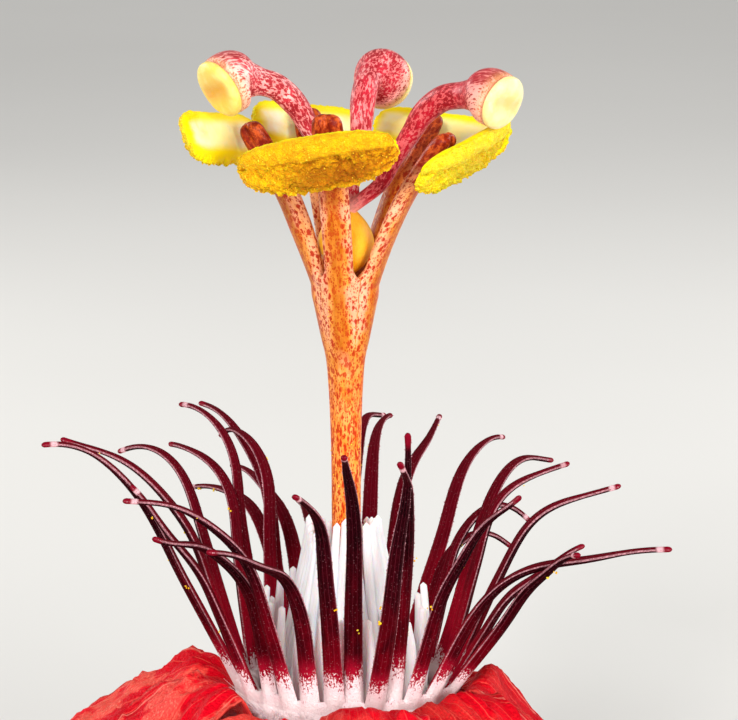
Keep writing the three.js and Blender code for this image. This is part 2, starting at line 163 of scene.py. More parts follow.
def makeVeins():
    # fine lines that run along a blade: Across is -1 to 1 over its width
    values = dict(Size=2.0, Stretch=2.0, Across=0.0, Count=9.0, Width=0.12)
    group, given, place, mask = newGroup("veins", **values)
    wander = addNode(group, "ShaderNodeTexNoise", {"Vector": place, "Scale": 1.0, "Detail": 2.0}).outputs[0]
    lane = calc(group, "MULTIPLY", given["Across"], given["Count"])
    lane = calc(group, "ADD", lane, calc(group, "MULTIPLY", wander, 1.6))
    away = calc(group, "ABSOLUTE", calc(group, "SUBTRACT", calc(group, "FRACT", lane), 0.5))
    group.links.new(fade(group, away, 0.0, given["Width"], 1.0, 0.0), mask)
    return group


clouds = makeClouds()
spots = makeSpots()
grain = makeGrain()
veins = makeVeins()


class Skin:
    # one material with its shader and what it reads from the mesh
    def __init__(self, name, roughness, specular, scatter=None):
        # scatter is how much light goes under the surface and how far, in millimetres
        self.material = bpy.data.materials.new(name)
        self.material.use_nodes = True
        self.tree = self.material.node_tree
        self.shader = self.tree.nodes["Principled BSDF"]
        self.shader.inputs["Roughness"].default_value = roughness
        self.shader.inputs["Specular IOR Level"].default_value = specular
        if scatter:
            self.shader.inputs["Subsurface Weight"].default_value = scatter[0]
            self.shader.inputs["Subsurface Scale"].default_value = scatter[1] * mm
        self.local = self.read("local").outputs["Vector"]
        trace = self.read("trace").outputs["Vector"]
        self.length, self.across, self.luck = addNode(self.tree, "ShaderNodeSeparateXYZ", {0: trace}).outputs
        self.side = self.read("side").outputs["Fac"]

    def read(self, name):
        return addNode(self.tree, "ShaderNodeAttribute", attribute_name=name)

    def pattern(self, group, **wires):
        given = {"Place": self.local}
        given.update(wires)
        return addNode(self.tree, "ShaderNodeGroup", given, node_tree=group).outputs[0]

    def fade(self, value, start, end, low=0.0, high=1.0):
        return fade(self.tree, value, start, end, low, high)

    def calc(self, operation, first, second=0.0, clamp=False):
        return calc(self.tree, operation, first, second, clamp)

    def times(self, *masks):
        product = masks[0]
        for mask in masks[1:]:
            product = self.calc("MULTIPLY", product, mask)
        return product

    def rest(self, mask):
        return self.calc("SUBTRACT", 1.0, mask)

    def apart(self, value, middle=None):
        # how far a value is from zero or from the middle
        return self.calc("ABSOLUTE", value if middle is None else self.calc("SUBTRACT", value, middle))

    def halfPlus(self, mask, share):
        return halfPlus(self.tree, mask, share)

    def mix(self, mask, first, second):
        wires = {0: mask, 6: first, 7: second}
        return addNode(self.tree, "ShaderNodeMix", wires, data_type="RGBA").outputs[2]

    def stain(self, colour, tint, *masks):
        # the tint laid over the colour, as strong as the product of the masks
        return self.mix(self.times(*masks), colour, tint)

    def finish(self, colour, height=None, lift=0.03, roughness=None):
        # lift is how far the height stands up, in millimetres
        self.tree.links.new(colour, self.shader.inputs["Base Color"])
        if height is not None:
            wires = {"Height": height, "Strength": 1.0, "Distance": lift * mm}
            bump = addNode(self.tree, "ShaderNodeBump", wires)
            self.tree.links.new(bump.outputs[0], self.shader.inputs["Normal"])
        if roughness is not None:
            self.tree.links.new(roughness, self.shader.inputs["Roughness"])
        return self.material


print("pattern groups made")


# small helpers for shapes
def seeded(seed):
    state = seed

    def draw():
        nonlocal state
        state = (state * 1664525 + 1013904223) % 4294967296
        return state / 4294967296

    return draw


def outward(degrees):
    # away from the axis: 0 faces the viewer, 90 is +X
    angle = np.radians(degrees)
    return np.stack([np.sin(angle), -np.cos(angle), np.zeros_like(angle)], -1)


def sideways(degrees):
    angle = np.radians(degrees)
    return np.stack([np.cos(angle), np.sin(angle), np.zeros_like(angle)], -1)


def turned(degrees, radius, height):
    # rings or points round the axis
    return outward(degrees) * radius[..., None] + up * height[..., None]


def swept(centre, side, face, xs, ys):
    # a section's points at each point of a centre line, along its side and face directions
    side, face = np.atleast_2d(side, face)
    return centre[:, None] + side[:, None] * xs[..., None] + face[:, None] * ys[..., None]


def around(count):
    # even steps round the axis, in degrees
    return np.linspace(0, 360, count, endpoint=False)[None]


def oval(half, depth, sides):
    # an oval section for each half width and depth, with the cosine that runs across it
    angle = np.linspace(0, 2 * np.pi, sides, endpoint=False)
    return half[:, None] * np.cos(angle), depth[:, None] * np.sin(angle), np.cos(angle)


def roundEnd(left, least=0.01, power=2):
    # how full a section is when a share of the end's length is left before the tip
    return np.clip(1 - (1 - np.clip(left, 0, 1)) ** power, least, 1) ** (1 / power)


def stacked(*parts):
    # the parts' values side by side, as one vector at each point
    return np.stack(np.broadcast_arrays(*parts), -1)


def smooth(t):
    t = np.clip(t, 0, 1)
    return t * t * (3 - 2 * t)


def ramp(value, start, end):
    # 0 before start and 1 after end
    return smooth((value - start) / (end - start))


def hill(distance, width):
    # 1 at no distance, less and less further away
    return np.exp(-((distance / width) ** 2))


def hillsAt(degrees, places, width):
    # a hill at each place round the axis
    return sum(hill((degrees - place + 180) % 360 - 180, width) for place in places)


def lerp(start, end, t):
    return start + (end - start) * t


def stations(pairs, t):
    places, values = zip(*pairs)
    return np.interp(t, places, values)


def curveThrough(points, count):
    # a smooth line through the points at even steps, with its directions and its length
    given = np.array(points, float)
    given = np.vstack([2 * given[0] - given[1], given, 2 * given[-1] - given[-2]])
    fine = []
    s = np.linspace(0, 1, 40, endpoint=False)[:, None]
    for a, b, c, d in zip(given, given[1:], given[2:], given[3:]):
        d0, d1, d2 = (np.sqrt(np.linalg.norm(step)) for step in (b - a, c - b, d - c))
        first = ((b - a) / d0 - (c - a) / (d0 + d1) + (c - b) / d1) * d1
        last = ((c - b) / d1 - (d - b) / (d1 + d2) + (d - c) / d2) * d1
        square = 3 * (c - b) - 2 * first - last
        cube = 2 * (b - c) + first + last
        fine.append(b + first * s + square * s**2 + cube * s**3)
    fine = np.vstack(fine + [given[-2][None]])
    run = np.concatenate([[0], np.cumsum(np.linalg.norm(np.diff(fine, axis=0), axis=1))])
    at = np.linspace(0, run[-1], count)
    line = np.stack([np.interp(at, run, fine[:, k]) for k in range(fine.shape[1])], -1)
    along = np.gradient(line, axis=0)
    return line, along / np.linalg.norm(along, axis=1)[:, None], run[-1]


def skinOver(rings, local=None, trace=None, side=None, closed=False):
    # one closed body over rings of points, capped at both ends unless the rings close on themselves
    n, m, _ = rings.shape
    i = np.arange(n if closed else n - 1)[:, None]
    j = np.arange(m)[None]
    following = (i + 1) % n
    step = (j + 1) % m
    quads = np.stack([i * m + j, i * m + step, following * m + step, following * m + j], -1)
    faces = quads.reshape(-1, 4).tolist()
    values = {
        "points": rings,
        "local": rings if local is None else local,
        "trace": np.zeros_like(rings) if trace is None else trace,
        "side": np.zeros((n, m, 1)) if side is None else side[..., None],
    }
    body = {}
    for key, value in values.items():
        flat = value.reshape(n * m, -1)
        body[key] = flat if closed else np.vstack([flat, value[0].mean(0), value[-1].mean(0)])
    if not closed:
        for k in range(m):
            after = (k + 1) % m
            faces.append([after, k, n * m])
            faces.append([(n - 1) * m + k, (n - 1) * m + after, n * m + 1])
    a, b, c = (rings[i, j], rings[i, step], rings[following, step])
    centre = rings.reshape(-1, 3).mean(0)
    if np.einsum("ijk,ijk", a - centre, np.cross(b - centre, c - centre)) < 0:
        faces = [face[::-1] for face in faces]
    body["faces"] = faces
    return body


def gathered(bodies):
    # the bodies' points and faces as one body's
    faces = []
    offset = 0
    for body in bodies:
        faces += [[corner + offset for corner in face] for face in body["faces"]]
        offset += len(body["points"])
    return np.vstack([body["points"] for body in bodies]), faces


# what each body tells its material, and how that is stored
bodyNotes = {
    "local": ("FLOAT_VECTOR", "vector"),
    "trace": ("FLOAT_VECTOR", "vector"),
    "side": ("FLOAT", "value"),
}


def addPiece(name, bodies, material, nodes=(), level=coronaLevel):
    points, faces = gathered(bodies)
    mesh = bpy.data.meshes.new(name)
    mesh.from_pydata(((points + up * level) * mm).tolist(), [], faces)
    for key, (kind, field) in bodyNotes.items():
        values = np.vstack([body[key] for body in bodies]).astype(np.float32)
        mesh.attributes.new(key, kind, "POINT").data.foreach_set(field, values.ravel())
    mesh.polygons.foreach_set("use_smooth", [True] * len(faces))
    mesh.materials.append(material)
    piece = addObject(name, mesh)
    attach(piece, "root")
    if nodes:
        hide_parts(*nodes)
    print(f"{name}: {len(faces)} faces")


def roughly(points, size, seed=0.0):
    # soft noise from about -1 to 1 at each point, for shapes
    flat = np.asarray(points).reshape(-1, 3) / size + seed
    values = [noise.noise(Vector(p)) for p in flat]
    return np.array(values).reshape(np.asarray(points).shape[:-1])


def crumbled(points, size, seed):
    # crumbs from about -0.5 to 0.5, and 0 to 1 where the creases between them are
    flat = np.asarray(points).reshape(-1, 3) / size + seed
    near = np.array([noise.voronoi(Vector(p))[0][:2] for p in flat])
    shape = np.asarray(points).shape[:-1]
    return (0.5 - near[:, 0]).reshape(shape), (1 - smooth((near[:, 1] - near[:, 0]) / 0.3)).reshape(shape)


# a bead is a small body with 12 corners and 20 faces
golden = 1.618
beadCorners = np.array([
    [-1, golden, 0], [1, golden, 0], [-1, -golden, 0], [1, -golden, 0], [0, -1, golden], [0, 1, golden],
    [0, -1, -golden], [0, 1, -golden], [golden, 0, -1], [golden, 0, 1], [-golden, 0, -1], [-golden, 0, 1],
]) / np.hypot(1, golden)
beadFaces = np.array([
    [0, 11, 5], [0, 5, 1], [0, 1, 7], [0, 7, 10], [0, 10, 11], [1, 5, 9], [5, 11, 4], [11, 10, 2], [10, 7, 6],
    [7, 1, 8], [3, 9, 4], [3, 4, 2], [3, 2, 6], [3, 6, 8], [3, 8, 9], [4, 9, 5], [2, 4, 11], [6, 2, 10],
    [8, 6, 7], [9, 8, 1],
])


def beads(centres, radii, chance):
    # small round grains, each a little out of round
    count = len(centres)
    spread = chance.uniform(0.8, 1.25, (count, 1, 3))
    points = np.asarray(centres)[:, None] + beadCorners * spread * np.asarray(radii)[:, None, None]
    faces = beadFaces + len(beadCorners) * np.arange(count)[:, None, None]
    luck = np.repeat(chance.random(count), len(beadCorners))
    flat = points.reshape(-1, 3)
    body = {"points": flat, "local": flat, "trace": stacked(0.0, 0.0, luck), "side": np.zeros((len(flat), 1))}
    body["faces"] = faces.reshape(-1, 3).tolist()
    return body


# tepals
tepals = dict(
    root=8.45, reach=47.5, step=36, first=-100, cupTop=-1.2, solidThickness=0.75, thickness=0.46, rows=120,
    columns=48, sideGap=0.28, leastHalf=0.55, tuck=0.75, waves=15, wave=0.75, arch=0.9, crinkle=0.3,
    fineCrinkle=0.13, fold=0.55, pucker=0.22, groove=0.18, ruffles=62, ruffle=0.34,
)
# each kind's width, the tip's height, where it levels out, and the share of the fall by 30, by 38 and there
tepalKinds = {
    "sepal": dict(width=12.6, tip=-23.45, levels=42.3, falls=(0.46, 0.83, 1)),
    "petal": dict(width=11.4, tip=-21.6, levels=43.5, falls=(0.42, 0.74, 0.93)),
}
# heights near the root, at the crown and on the shoulder of each tepal in order round, and how far one side
# hangs below the other: the side further round, or with a minus the one before it
tepalLines = [
    (0.6, 1.2, -3, 4.6),
    (1.5, 1.5, -4.4, 2.6),
    (0.1, 0.2, -5.5, 1),
    (1.2, 1.7, -5, -0.8),
    (1.2, 1.3, -5, -1.6),
    (1.4, -0.9, -11.5, -2.5),
    (-0.3, -1.6, -10, 1.2),
    (-0.4, -1.5, -7.6, -1.5),
    (-0.4, -1.4, -6.8, 1),
    (-0.4, -1.5, -6.6, -1.8),
]


def tepalSkin(name, deep, bright, coral, under):
    skin = Skin(name, 0.5, 0.06)
    broad = skin.pattern(clouds, Size=3.0, Stretch=2.4, Low=0.3, High=0.66)
    # the first two tepals have crisp coral patches of painted sheen, the next two a softer and weaker painted
    # sheen, the rest little; from the fifth on, painted shade darkens the blade and weakens its sheen further
    plain = skin.fade(skin.luck, 0.14, 0.24)
    shadedTepals = skin.fade(skin.luck, 0.32, 0.38)
    low = skin.calc("ADD", 0.47, skin.times(plain, 0.03))
    high = skin.calc("ADD", 0.52, skin.times(plain, 0.16))
    patches = skin.pattern(clouds, Size=3.2, Stretch=2.0, Low=low, High=high)
    velvet = skin.pattern(clouds, Size=0.17, Stretch=1.2, Low=0.44, High=0.58)
    dots = skin.pattern(grain, Size=0.15, Fullness=0.75)
    sparkle = skin.pattern(grain, Size=0.19, Fullness=0.4)
    lines = skin.pattern(veins, Across=skin.across, Count=6.0, Width=0.07, Size=5.0)
    fineLines = skin.pattern(veins, Across=skin.across, Count=24.0, Width=0.2, Size=3.0)
    colour = skin.mix(broad, deep, bright)
    # painted shade: the later tepals are darkened
    colour = skin.stain(colour, tone(178, 0, 16), shadedTepals, 0.5)
    shine = skin.times(skin.halfPlus(velvet, 0.42), patches, skin.rest(skin.times(plain, 0.4)))
    shine = skin.times(shine, skin.rest(skin.times(shadedTepals, 0.6)))
    # coral patches of painted sheen
    colour = skin.stain(colour, coral, shine, 0.85)
    # fine painted glints on the sheen
    colour = skin.stain(colour, tone(255, 186, 150), sparkle, shine, 0.55)
    colour = skin.stain(colour, deep, fineLines, 0.22)
    colour = skin.stain(colour, coral, lines, 0.4)
    # a thin seam beside the margin, and the margin itself
    away = skin.apart(skin.across)
    colour = skin.stain(colour, tone(255, 150, 130), skin.fade(skin.apart(away, 0.86), 0.02, 0.006), 0.5)
    colour = skin.stain(colour, coral, skin.fade(away, 0.95, 1.0), 0.45)
    colour = skin.stain(colour, under, skin.fade(skin.side, 0.1, -0.1), 0.5)
    height = skin.calc("ADD", skin.times(dots, 0.4), skin.times(fineLines, -0.5))
    height = skin.calc("ADD", height, skin.times(velvet, 0.8))
    return skin.finish(colour, height, 0.05, skin.fade(velvet, 0.0, 1.0, 0.55, 0.4))


tepalMaterials = {
    "sepal": tepalSkin(
        "scarlet sepal", tone(208, 0, 24), tone(250, 3, 33), tone(255, 112, 90), tone(204, 24, 34)
    ),
    "petal": tepalSkin(
        "scarlet petal", tone(200, 0, 22), tone(244, 0, 32), tone(255, 102, 86), tone(196, 18, 30)
    ),
}


def tepalLine(row, kind):
    # the middle of the blade, as distance from the axis and height
    rise, crown, shoulder, _ = row
    rootHeight = tepals["cupTop"] + gap + tepals["solidThickness"] / 2
    first, second, third = (lerp(shoulder, kind["tip"], fall) for fall in kind["falls"])
    knots = [
        (tepals["root"], rootHeight), (10, rise), (12.2, crown), (15.5, lerp(crown, shoulder, 0.36)),
        (20.5, shoulder), (30, first), (38, second), (kind["levels"], third), (tepals["reach"], kind["tip"]),
    ]
    return curveThrough(knots, tepals["rows"])


def tepal(index, row, name, draw):
    kind = tepalKinds[name]
    hang = row[-1]
    place = tepals["first"] + tepals["step"] * index
    line, along, length = tepalLine(row, kind)
    phase = draw() * np.pi * 2
    twist = draw() - 0.5
    # u runs from root to tip, v from one margin to the other, and span is the share of the reach
    u = np.linspace(0, 1, tepals["rows"])[:, None]
    v = np.linspace(-1, 1, tepals["columns"])[None]
    span = np.clip((line[:, :1] - tepals["root"]) / (tepals["reach"] - tepals["root"]), 0, 1)
    blade = (kind["width"] / 2) * np.sqrt(np.clip((1 - span) * 2.6, 0, 1)) * (1 - 0.25 * span**4)
    # the sepals' margins are tucked a little under the petals'
    tuck = (name == "sepal") * tepals["tuck"] * (1 - ramp(span, 0.2, 0.4)) * ramp(span, 0.02, 0.06)
    wedge = line[:, :1] * np.tan(np.radians(tepals["step"] / 2)) - tepals["sideGap"] + tuck
    half = np.maximum(tepals["leastHalf"], np.minimum(blade, wedge))
    half = half * np.sqrt(np.clip((1.0 - u) / 0.012, 0.12, 1))
    # broad waves where the blade is free, and one side that hangs lower
    free = ramp(span, 0.1, 0.45) * (1 - ramp(span, 0.72, 0.92))
    hung = ramp(span, 0.02, 0.16) * (1 - ramp(span, 0.4, 0.8))
    wave = tepals["wave"] * np.sin(u * tepals["waves"] + phase + v * 0.9) - tepals["arch"]
    lift = wave * free * v * v + 0.5 * free * twist * v
    lift = lift - abs(hang) * hung * (0.5 + 0.5 * np.sign(hang) * v)
    # crinkles finer than the solid's waves, puckers, folds, a ruffled margin and a groove along the middle
    flat = stacked(half * v, u * length, 40.0 * index)
    crinkle = tepals["crinkle"] * roughly(flat, 2.6) + tepals["fineCrinkle"] * roughly(flat, 0.95)
    pucker = tepals["pucker"] * (1 - smooth(np.abs(roughly(flat + [0, 0, 9], 1.7)) / 0.16))
    folds = np.clip(1 - 3.2 * np.abs(roughly(flat * [1, 0.45, 1] + [0, 0, 21], 2.1)), 0, 1)
    folds = tepals["fold"] * folds - 0.14
    ruffle = np.sin(u * tepals["ruffles"] + phase + 5 * roughly(flat, 6.0)) * np.abs(v) ** 4
    ruffle = tepals["ruffle"] * ruffle * np.maximum(free, 0.3 * hung)
    settled = (1 - ramp(span, 0.78, 0.92)) * ramp(span, 0.005, 0.055)
    lift = lift + (crinkle + folds + ruffle - pucker - tepals["groove"] * hill(v, 0.09)) * settled
    lift = lift - 0.5 * tuck * ramp(np.abs(v), 0.7, 1.0)
    edge = half * v * (1 + 0.02 * np.sin(u * 47 + phase) * np.abs(v) ** 3)
    thick = tepals["thickness"] / 2 * (1 - 0.55 * np.abs(v) ** 6)
    faces = []
    for face in (1, -1):
        x = line[:, :1] - along[:, 1:] * thick * face
        z = coronaLevel + line[:, 1:] + lift + along[:, :1] * thick * face
        if name == "sepal":
            z = np.maximum(z, tepals["thickness"] if face > 0 else 0.0)
        point = turned(place, x, z) + sideways(place) * edge[..., None]
        local = stacked(edge, 60.0 * index + 0.4 * face, u * length)
        trace = stacked(u, v, 0.1 * index)
        faces.append((point, local, trace, np.full(z.shape, float(face))))
    # the under side goes back the other way, so that each ring runs round the blade
    return skinOver(*[np.concatenate([top, under[:, ::-1]], 1) for top, under in zip(*faces)])


tepalDraw = seeded(5)
for index, row in enumerate(tepalLines):
    kind = "petal" if index % 2 else "sepal"
    number = index // 2 + 1
    blade = tepal(index, row, kind, tepalDraw)
    nodes = [f"{kind}_{number}"]
    addPiece(f"{kind}Blade{number}", [blade], tepalMaterials[kind], nodes, level=0.0)
print("tepals made")


# cup and stalk
cup = dict(
    top=-1.2, radius=9.4, depth=10.8, stalk=1.6, stalkEnd=-20.5, ribs=0.022, lumps=0.06, rows=90,
    columns=120,
)


def cupSkin():
    skin = Skin("green cup", 0.5, 0.4)
    broad = skin.pattern(clouds, Size=2.4, Stretch=2.0, Low=0.38, High=0.64)
    fine = skin.pattern(clouds, Size=0.35, Stretch=3.0, Low=0.4, High=0.62)
    dots = skin.pattern(spots, Size=0.5, Stretch=1.6, Cover=0.2, Ragged=0.6)
    colour = skin.mix(broad, tone(96, 118, 44), tone(150, 160, 74))
    colour = skin.stain(colour, tone(182, 184, 104), fine, 0.35)
    flush = skin.times(skin.fade(skin.length, 0.6, 0.4), skin.halfPlus(broad, 0.5))
    colour = skin.stain(colour, tone(168, 46, 44), flush, 0.5)
    colour = skin.stain(colour, tone(198, 20, 30), skin.fade(skin.length, 0.46, 0.38))
    colour = skin.stain(colour, tone(120, 40, 36), dots, 0.5)
    return skin.finish(colour, fine, 0.04)


def makeCup():
    top, r, stalk, end = cup["top"], cup["radius"], cup["stalk"], cup["stalkEnd"]
    bottom = top - cup["depth"]
    profile = [
        (0.3, top), (r - 0.9, top - 0.02), (r - 0.25, top - 0.2), (r, top - 0.9), (r * 0.97, top - 3),
        (r * 0.84, top - 6.2), (r * 0.58, bottom + 1.9), (r * 0.3, bottom + 0.4),
        (stalk * 1.15, bottom - 0.8), (stalk, bottom - 2.6), (stalk * 0.98, end + 2),
        (stalk * 1.06, end + 0.1), (0.3, end),
    ]
    line, _, _ = curveThrough(profile, cup["rows"])
    angle = around(cup["columns"])
    t = np.linspace(0, 1, len(line))[:, None]
    ribs = cup["ribs"] * np.cos(np.radians(angle) * 10) * ramp(line[:, :1], 2, 6)
    radius = line[:, :1] * (1 + ribs)
    points = turned(angle, radius, line[:, 1:])
    lumps = cup["lumps"] * roughly(points, 1.3) * smooth(radius - 0.5)
    points = points + outward(angle) * lumps[..., None]
    return skinOver(points, points, stacked(t, angle / 180 - 1, 0.0))


addPiece("cupAndStalk", [makeCup()], cupSkin(), ["receptacle"])


# outer corona: dark straps on a white ring
outer = dict(
    ringRadius=7.2, ringWidth=1.5, ringBottom=-0.9, ringTop=0.9, baseWidth=1.7, tipWidth=0.4, bendLength=0.55,
    depthShare=0.74, keel=0.35, belly=0.75, cap=0.3, wander=0.22, kink=0.16, skirtTop=1.35, skirtLobes=0.4,
    skirtRagged=0.3, steps=96, papillae=46, papillaSizes=(0.022, 0.045), ringColumns=372,
)
# place, length, lean, droop, bend, swing
outerFilaments = [
    (-46, 22.5, 12, 70, 0.5, 15), (-32, 24.5, 20, 75, 0.65, -35), (-20, 23.5, 11, 70, 0.45, -10),
    (-6, 24, 18, 70, 0.7, -10), (4, 24.5, 6, 75, 0.75, -10), (15, 26.5, 31, 20, 0.7, -10),
    (26, 28, 14, 55, 0.5, -40), (38, 22, 21, 50, 0.6, 5), (51, 25, 28, 80, 0.5, 25),
    (68, 21, 39, 70, 0.7, -55), (80, 15.5, 30, 60, 0.6, 10), (92, 21, 24, 80, 0.7, 0),
    (104, 20.5, 16, 90, 0.75, 15), (116, 23.5, 20, 110, 0.7, 35), (127, 17.5, 15, 130, 0.75, -20),
    (136, 15, 20, 120, 0.7, -20), (146, 24, 34, 105, 0.75, 10), (158, 23.5, 16, 80, 0.6, 5),
    (169, 23.5, 7, 100, 0.7, 0), (180, 25, 16, 105, 0.7, -20), (191, 20, 22, 95, 0.5, 0),
    (-158, 21, 22, 90, 0.6, 10), (-150, 23, 28, 100, 0.55, 0), (-141, 24, 9, 85, 0.7, 0),
    (-131, 23, 2, 140, 0.8, -20), (-121, 23.5, 9, 120, 0.85, -15), (-111, 22, 8, 105, 0.75, -35),
    (-101, 23, 18, 120, 0.8, -35), (-90, 24.5, 18, 70, 0.65, -5), (-79, 26, 27, 100, 0.85, 15),
    (-62, 19, 22, 40, 0.6, -30),
]
strapWidths = [
    (0, 1.0), (0.06, 0.9), (0.16, 0.8), (0.3, 0.78), (0.6, 0.62), (0.8, 0.4), (0.9, 0.27), (0.96, 0.23),
    (0.985, 0.27), (1, 0.26),
]


def strapSkin():
    skin = Skin("maroon strap", 0.7, 0.02)
    mottle = skin.pattern(clouds, Size=0.8, Stretch=3.5, Low=0.36, High=0.66)
    blush = skin.pattern(clouds, Size=1.6, Stretch=3.0, Low=0.45, High=0.65)
    speckle = skin.pattern(clouds, Size=0.11, Stretch=1.7, Low=0.22, High=0.78)
    lines = skin.pattern(veins, Across=skin.across, Count=2.0, Width=0.05, Size=3.0, Stretch=6.0)
    nap = skin.pattern(clouds, Size=0.1, Stretch=1.6, Low=0.42, High=0.6)
    dots = skin.pattern(grain, Size=0.09, Stretch=1.3, Fullness=0.6)
    sparse = skin.pattern(spots, Size=0.2, Stretch=1.0, Cover=0.12, Ragged=0.4)
    inner = skin.fade(skin.side, 0.2, -0.2)
    dark = skin.mix(mottle, tone(16, 0, 2), tone(38, 0, 6))
    crimson = skin.mix(mottle, tone(70, 0, 8), tone(120, 0, 16))
    colour = skin.stain(dark, crimson, skin.fade(skin.length, 0.6, 0.12), 0.8)
    colour = skin.stain(colour, tone(158, 10, 34), inner, 0.25)
    colour = skin.stain(colour, tone(196, 16, 44), inner, skin.fade(skin.length, 0.45, 0.15, 0.0, 0.6))
    colour = skin.stain(colour, tone(132, 4, 26), blush, 0.07)
    colour = skin.stain(colour, tone(150, 44, 66), nap, 0.04)
    colour = skin.stain(colour, tone(214, 150, 160), sparse, 0.14)
    colour = skin.stain(colour, tone(176, 70, 90), lines, 0.3)
    # a thin pale line along each edge, partly the papillae's own colour and partly painted sheen on the nap
    rim = skin.fade(skin.apart(skin.across), 0.92, 0.99)
    colour = skin.stain(colour, tone(222, 160, 170), rim, skin.halfPlus(nap, 0.6), 0.7)
    # the tip is a crimson nub, on some filaments with a pale joint before it
    colour = skin.stain(colour, tone(136, 8, 34), skin.fade(skin.length, 0.95, 0.975), 0.85)
    joint = skin.times(skin.fade(skin.length, 0.953, 0.963), skin.fade(skin.length, 0.982, 0.972))
    colour = skin.stain(colour, tone(246, 200, 208), joint, skin.fade(skin.luck, 0.3, 0.5), 0.8)
    # ragged change to the white foot through crimson, higher on the outer face than on the inner
    colour = skin.stain(colour, tone(176, 14, 44), skin.fade(skin.length, 0.22, 0.15), 0.8)
    reach = skin.calc("ADD", skin.length, skin.times(inner, 0.07))
    reach = skin.calc("ADD", reach, skin.times(skin.calc("SUBTRACT", mottle, 0.5), -0.03))
    level = skin.fade(reach, 0.19, 0.09, 0.9, 0.12)
    white = skin.fade(speckle, skin.calc("SUBTRACT", level, 0.12), skin.calc("ADD", level, 0.12))
    colour = skin.stain(colour, tone(248, 222, 225), white, skin.fade(reach, 0.2, 0.15))
    colour = skin.stain(colour, tone(249, 233, 233), skin.fade(reach, 0.11, 0.07))
    height = skin.calc("ADD", dots, skin.times(nap, 0.8))
    return skin.finish(colour, height, 0.035)


def strapSection():
    # across and depth of the upper and then the under side, both from edge to edge, and the round tip's
    # angles for the same points
    upper = np.array([1, 0.965, 0.82, 0.55, 0.25, 0, -0.25, -0.55, -0.82, -0.965, -1])
    under = -upper[1:-1]
    x = np.concatenate([upper, under])
    below = outer["keel"] * hill(under, 0.3) - outer["belly"] * (1 - under**2)
    y = np.concatenate([1 - np.abs(upper) ** 2.4, below])
    angle = np.concatenate([np.linspace(0, np.pi, 11), np.linspace(np.pi, 2 * np.pi, 11)[1:-1]])
    return x, y, angle


def strap(index, row):
    place, length, lean, droop, bend, swing = row
    luck = (index * 0.618) % 1
    tipShare = outer["cap"] / length
    t = np.linspace(0, 1 - tipShare, outer["steps"] - 7)
    t = np.concatenate([t, 1 - tipShare * (1 - np.sin(np.linspace(0, np.pi / 2, 9)[1:]))])
    turn = smooth((t - bend) / outer["bendLength"] + 0.5)
    tilt = np.radians(lerp(lean, droop, turn))[:, None]
    heading = place + swing * t
    along = outward(heading) * np.sin(tilt) + up * np.cos(tilt)
    walked = np.cumsum(along[:-1] * np.diff(t)[:, None] * length, 0)
    centre = outward(place) * outer["ringRadius"] + np.vstack([np.zeros(3), walked])
    side = sideways(heading)
    face = np.cross(side, along)
    # slow wander and a small kink near the tip
    free = ramp(t, 0.25, 0.85)[:, None]
    centre = centre + side * free * outer["wander"] * np.sin(8 * t + 9 * luck)[:, None]
    centre = centre + face * free * outer["kink"] * np.sin(15 * t + 17 * luck)[:, None]
    half = np.maximum(outer["tipWidth"], outer["baseWidth"] * stations(strapWidths, t)) / 2
    depth = np.maximum(outer["tipWidth"] / 2, half * outer["depthShare"])
    cap = roundEnd(length * (1 - t) / outer["cap"])
    # flat and keeled below, round toward the tip
    x, y, angle = strapSection()
    rounding = ramp(t, 0.5, 0.9)[:, None]
    xs = lerp(x, np.cos(angle), rounding) * (half * cap)[:, None]
    ys = lerp(y, np.sin(angle), rounding) * (depth * cap)[:, None]
    points = swept(centre, side, face, xs, ys)
    local = stacked(xs + 5 * index, ys, (t * length)[:, None])
    return skinOver(points, local, stacked(t[:, None], x, luck), np.sign(ys)), points


def coronaRing():
    angle = around(outer["ringColumns"]).T
    lobes = np.clip(hillsAt(angle, [row[0] for row in outerFilaments], 4.2), 0, 1.1)
    inside = outer["ringRadius"] - outer["ringWidth"] / 2
    outside = outer["ringRadius"] + outer["ringWidth"] / 2
    bottom, top = outer["ringBottom"], outer["ringTop"]
    profile = np.array([
        (inside, bottom), (inside, top - 0.3), (inside + 0.3, top), (outer["ringRadius"] + 0.1, top + 0.05),
        (outside - 0.3, top - 0.2), (outside, top - 0.7), (outside + 0.05, 0),
        (outside - 0.05, bottom + 0.3), (outside - 0.3, bottom),
    ])
    weight = np.array([0, 0, 0.3, 1, 1, 1, 0.6, 0.3, 0])
    r = profile[:, 0] + 0.16 * lobes * weight
    z = profile[:, 1] + 0.5 * (lobes - 0.5) * weight * np.array([0, 1, 1, 1, 1, 0.5, 0, 0, 0])
    return skinOver(turned(angle, r, z), closed=True)


def coronaSkirt():
    # the straps' feet are joined by a smooth white skirt that leans with them
    angle = around(outer["ringColumns"]).T
    lean = np.interp(angle, *zip(*sorted((row[0] % 360, row[2]) for row in outerFilaments)), period=360)
    lobes = hillsAt(angle, [row[0] for row in outerFilaments], 3.4)
    top = outer["skirtTop"] + outer["skirtLobes"] * np.clip(lobes, 0, 1)
    top = top + outer["skirtRagged"] * roughly(outward(angle[:, 0]), 0.12)[:, None]
    level = np.array([-0.3, 0, 0.25, 0.5, 0.75, 0.92, 1, 0.92, 0.6, 0.2, -0.3])
    inset = np.array([0.05, 0, 0, 0.02, 0.06, 0.14, 0.3, 0.46, 0.6, 0.7, 0.8])
    z = level * top
    r = outer["ringRadius"] + 0.46 + 0.2 * lobes - inset + np.maximum(z, 0) * np.tan(np.radians(lean))
    points = turned(angle, r, z)
    return skinOver(points, points, stacked(z / 23, 0.0, 0.3), closed=True)


straps = [strap(index, row) for index, row in enumerate(outerFilaments)]
bodies = [body for body, _ in straps] + [coronaRing(), coronaSkirt()]
addPiece("outerStraps", bodies, strapSkin(), ["outer_corona"])


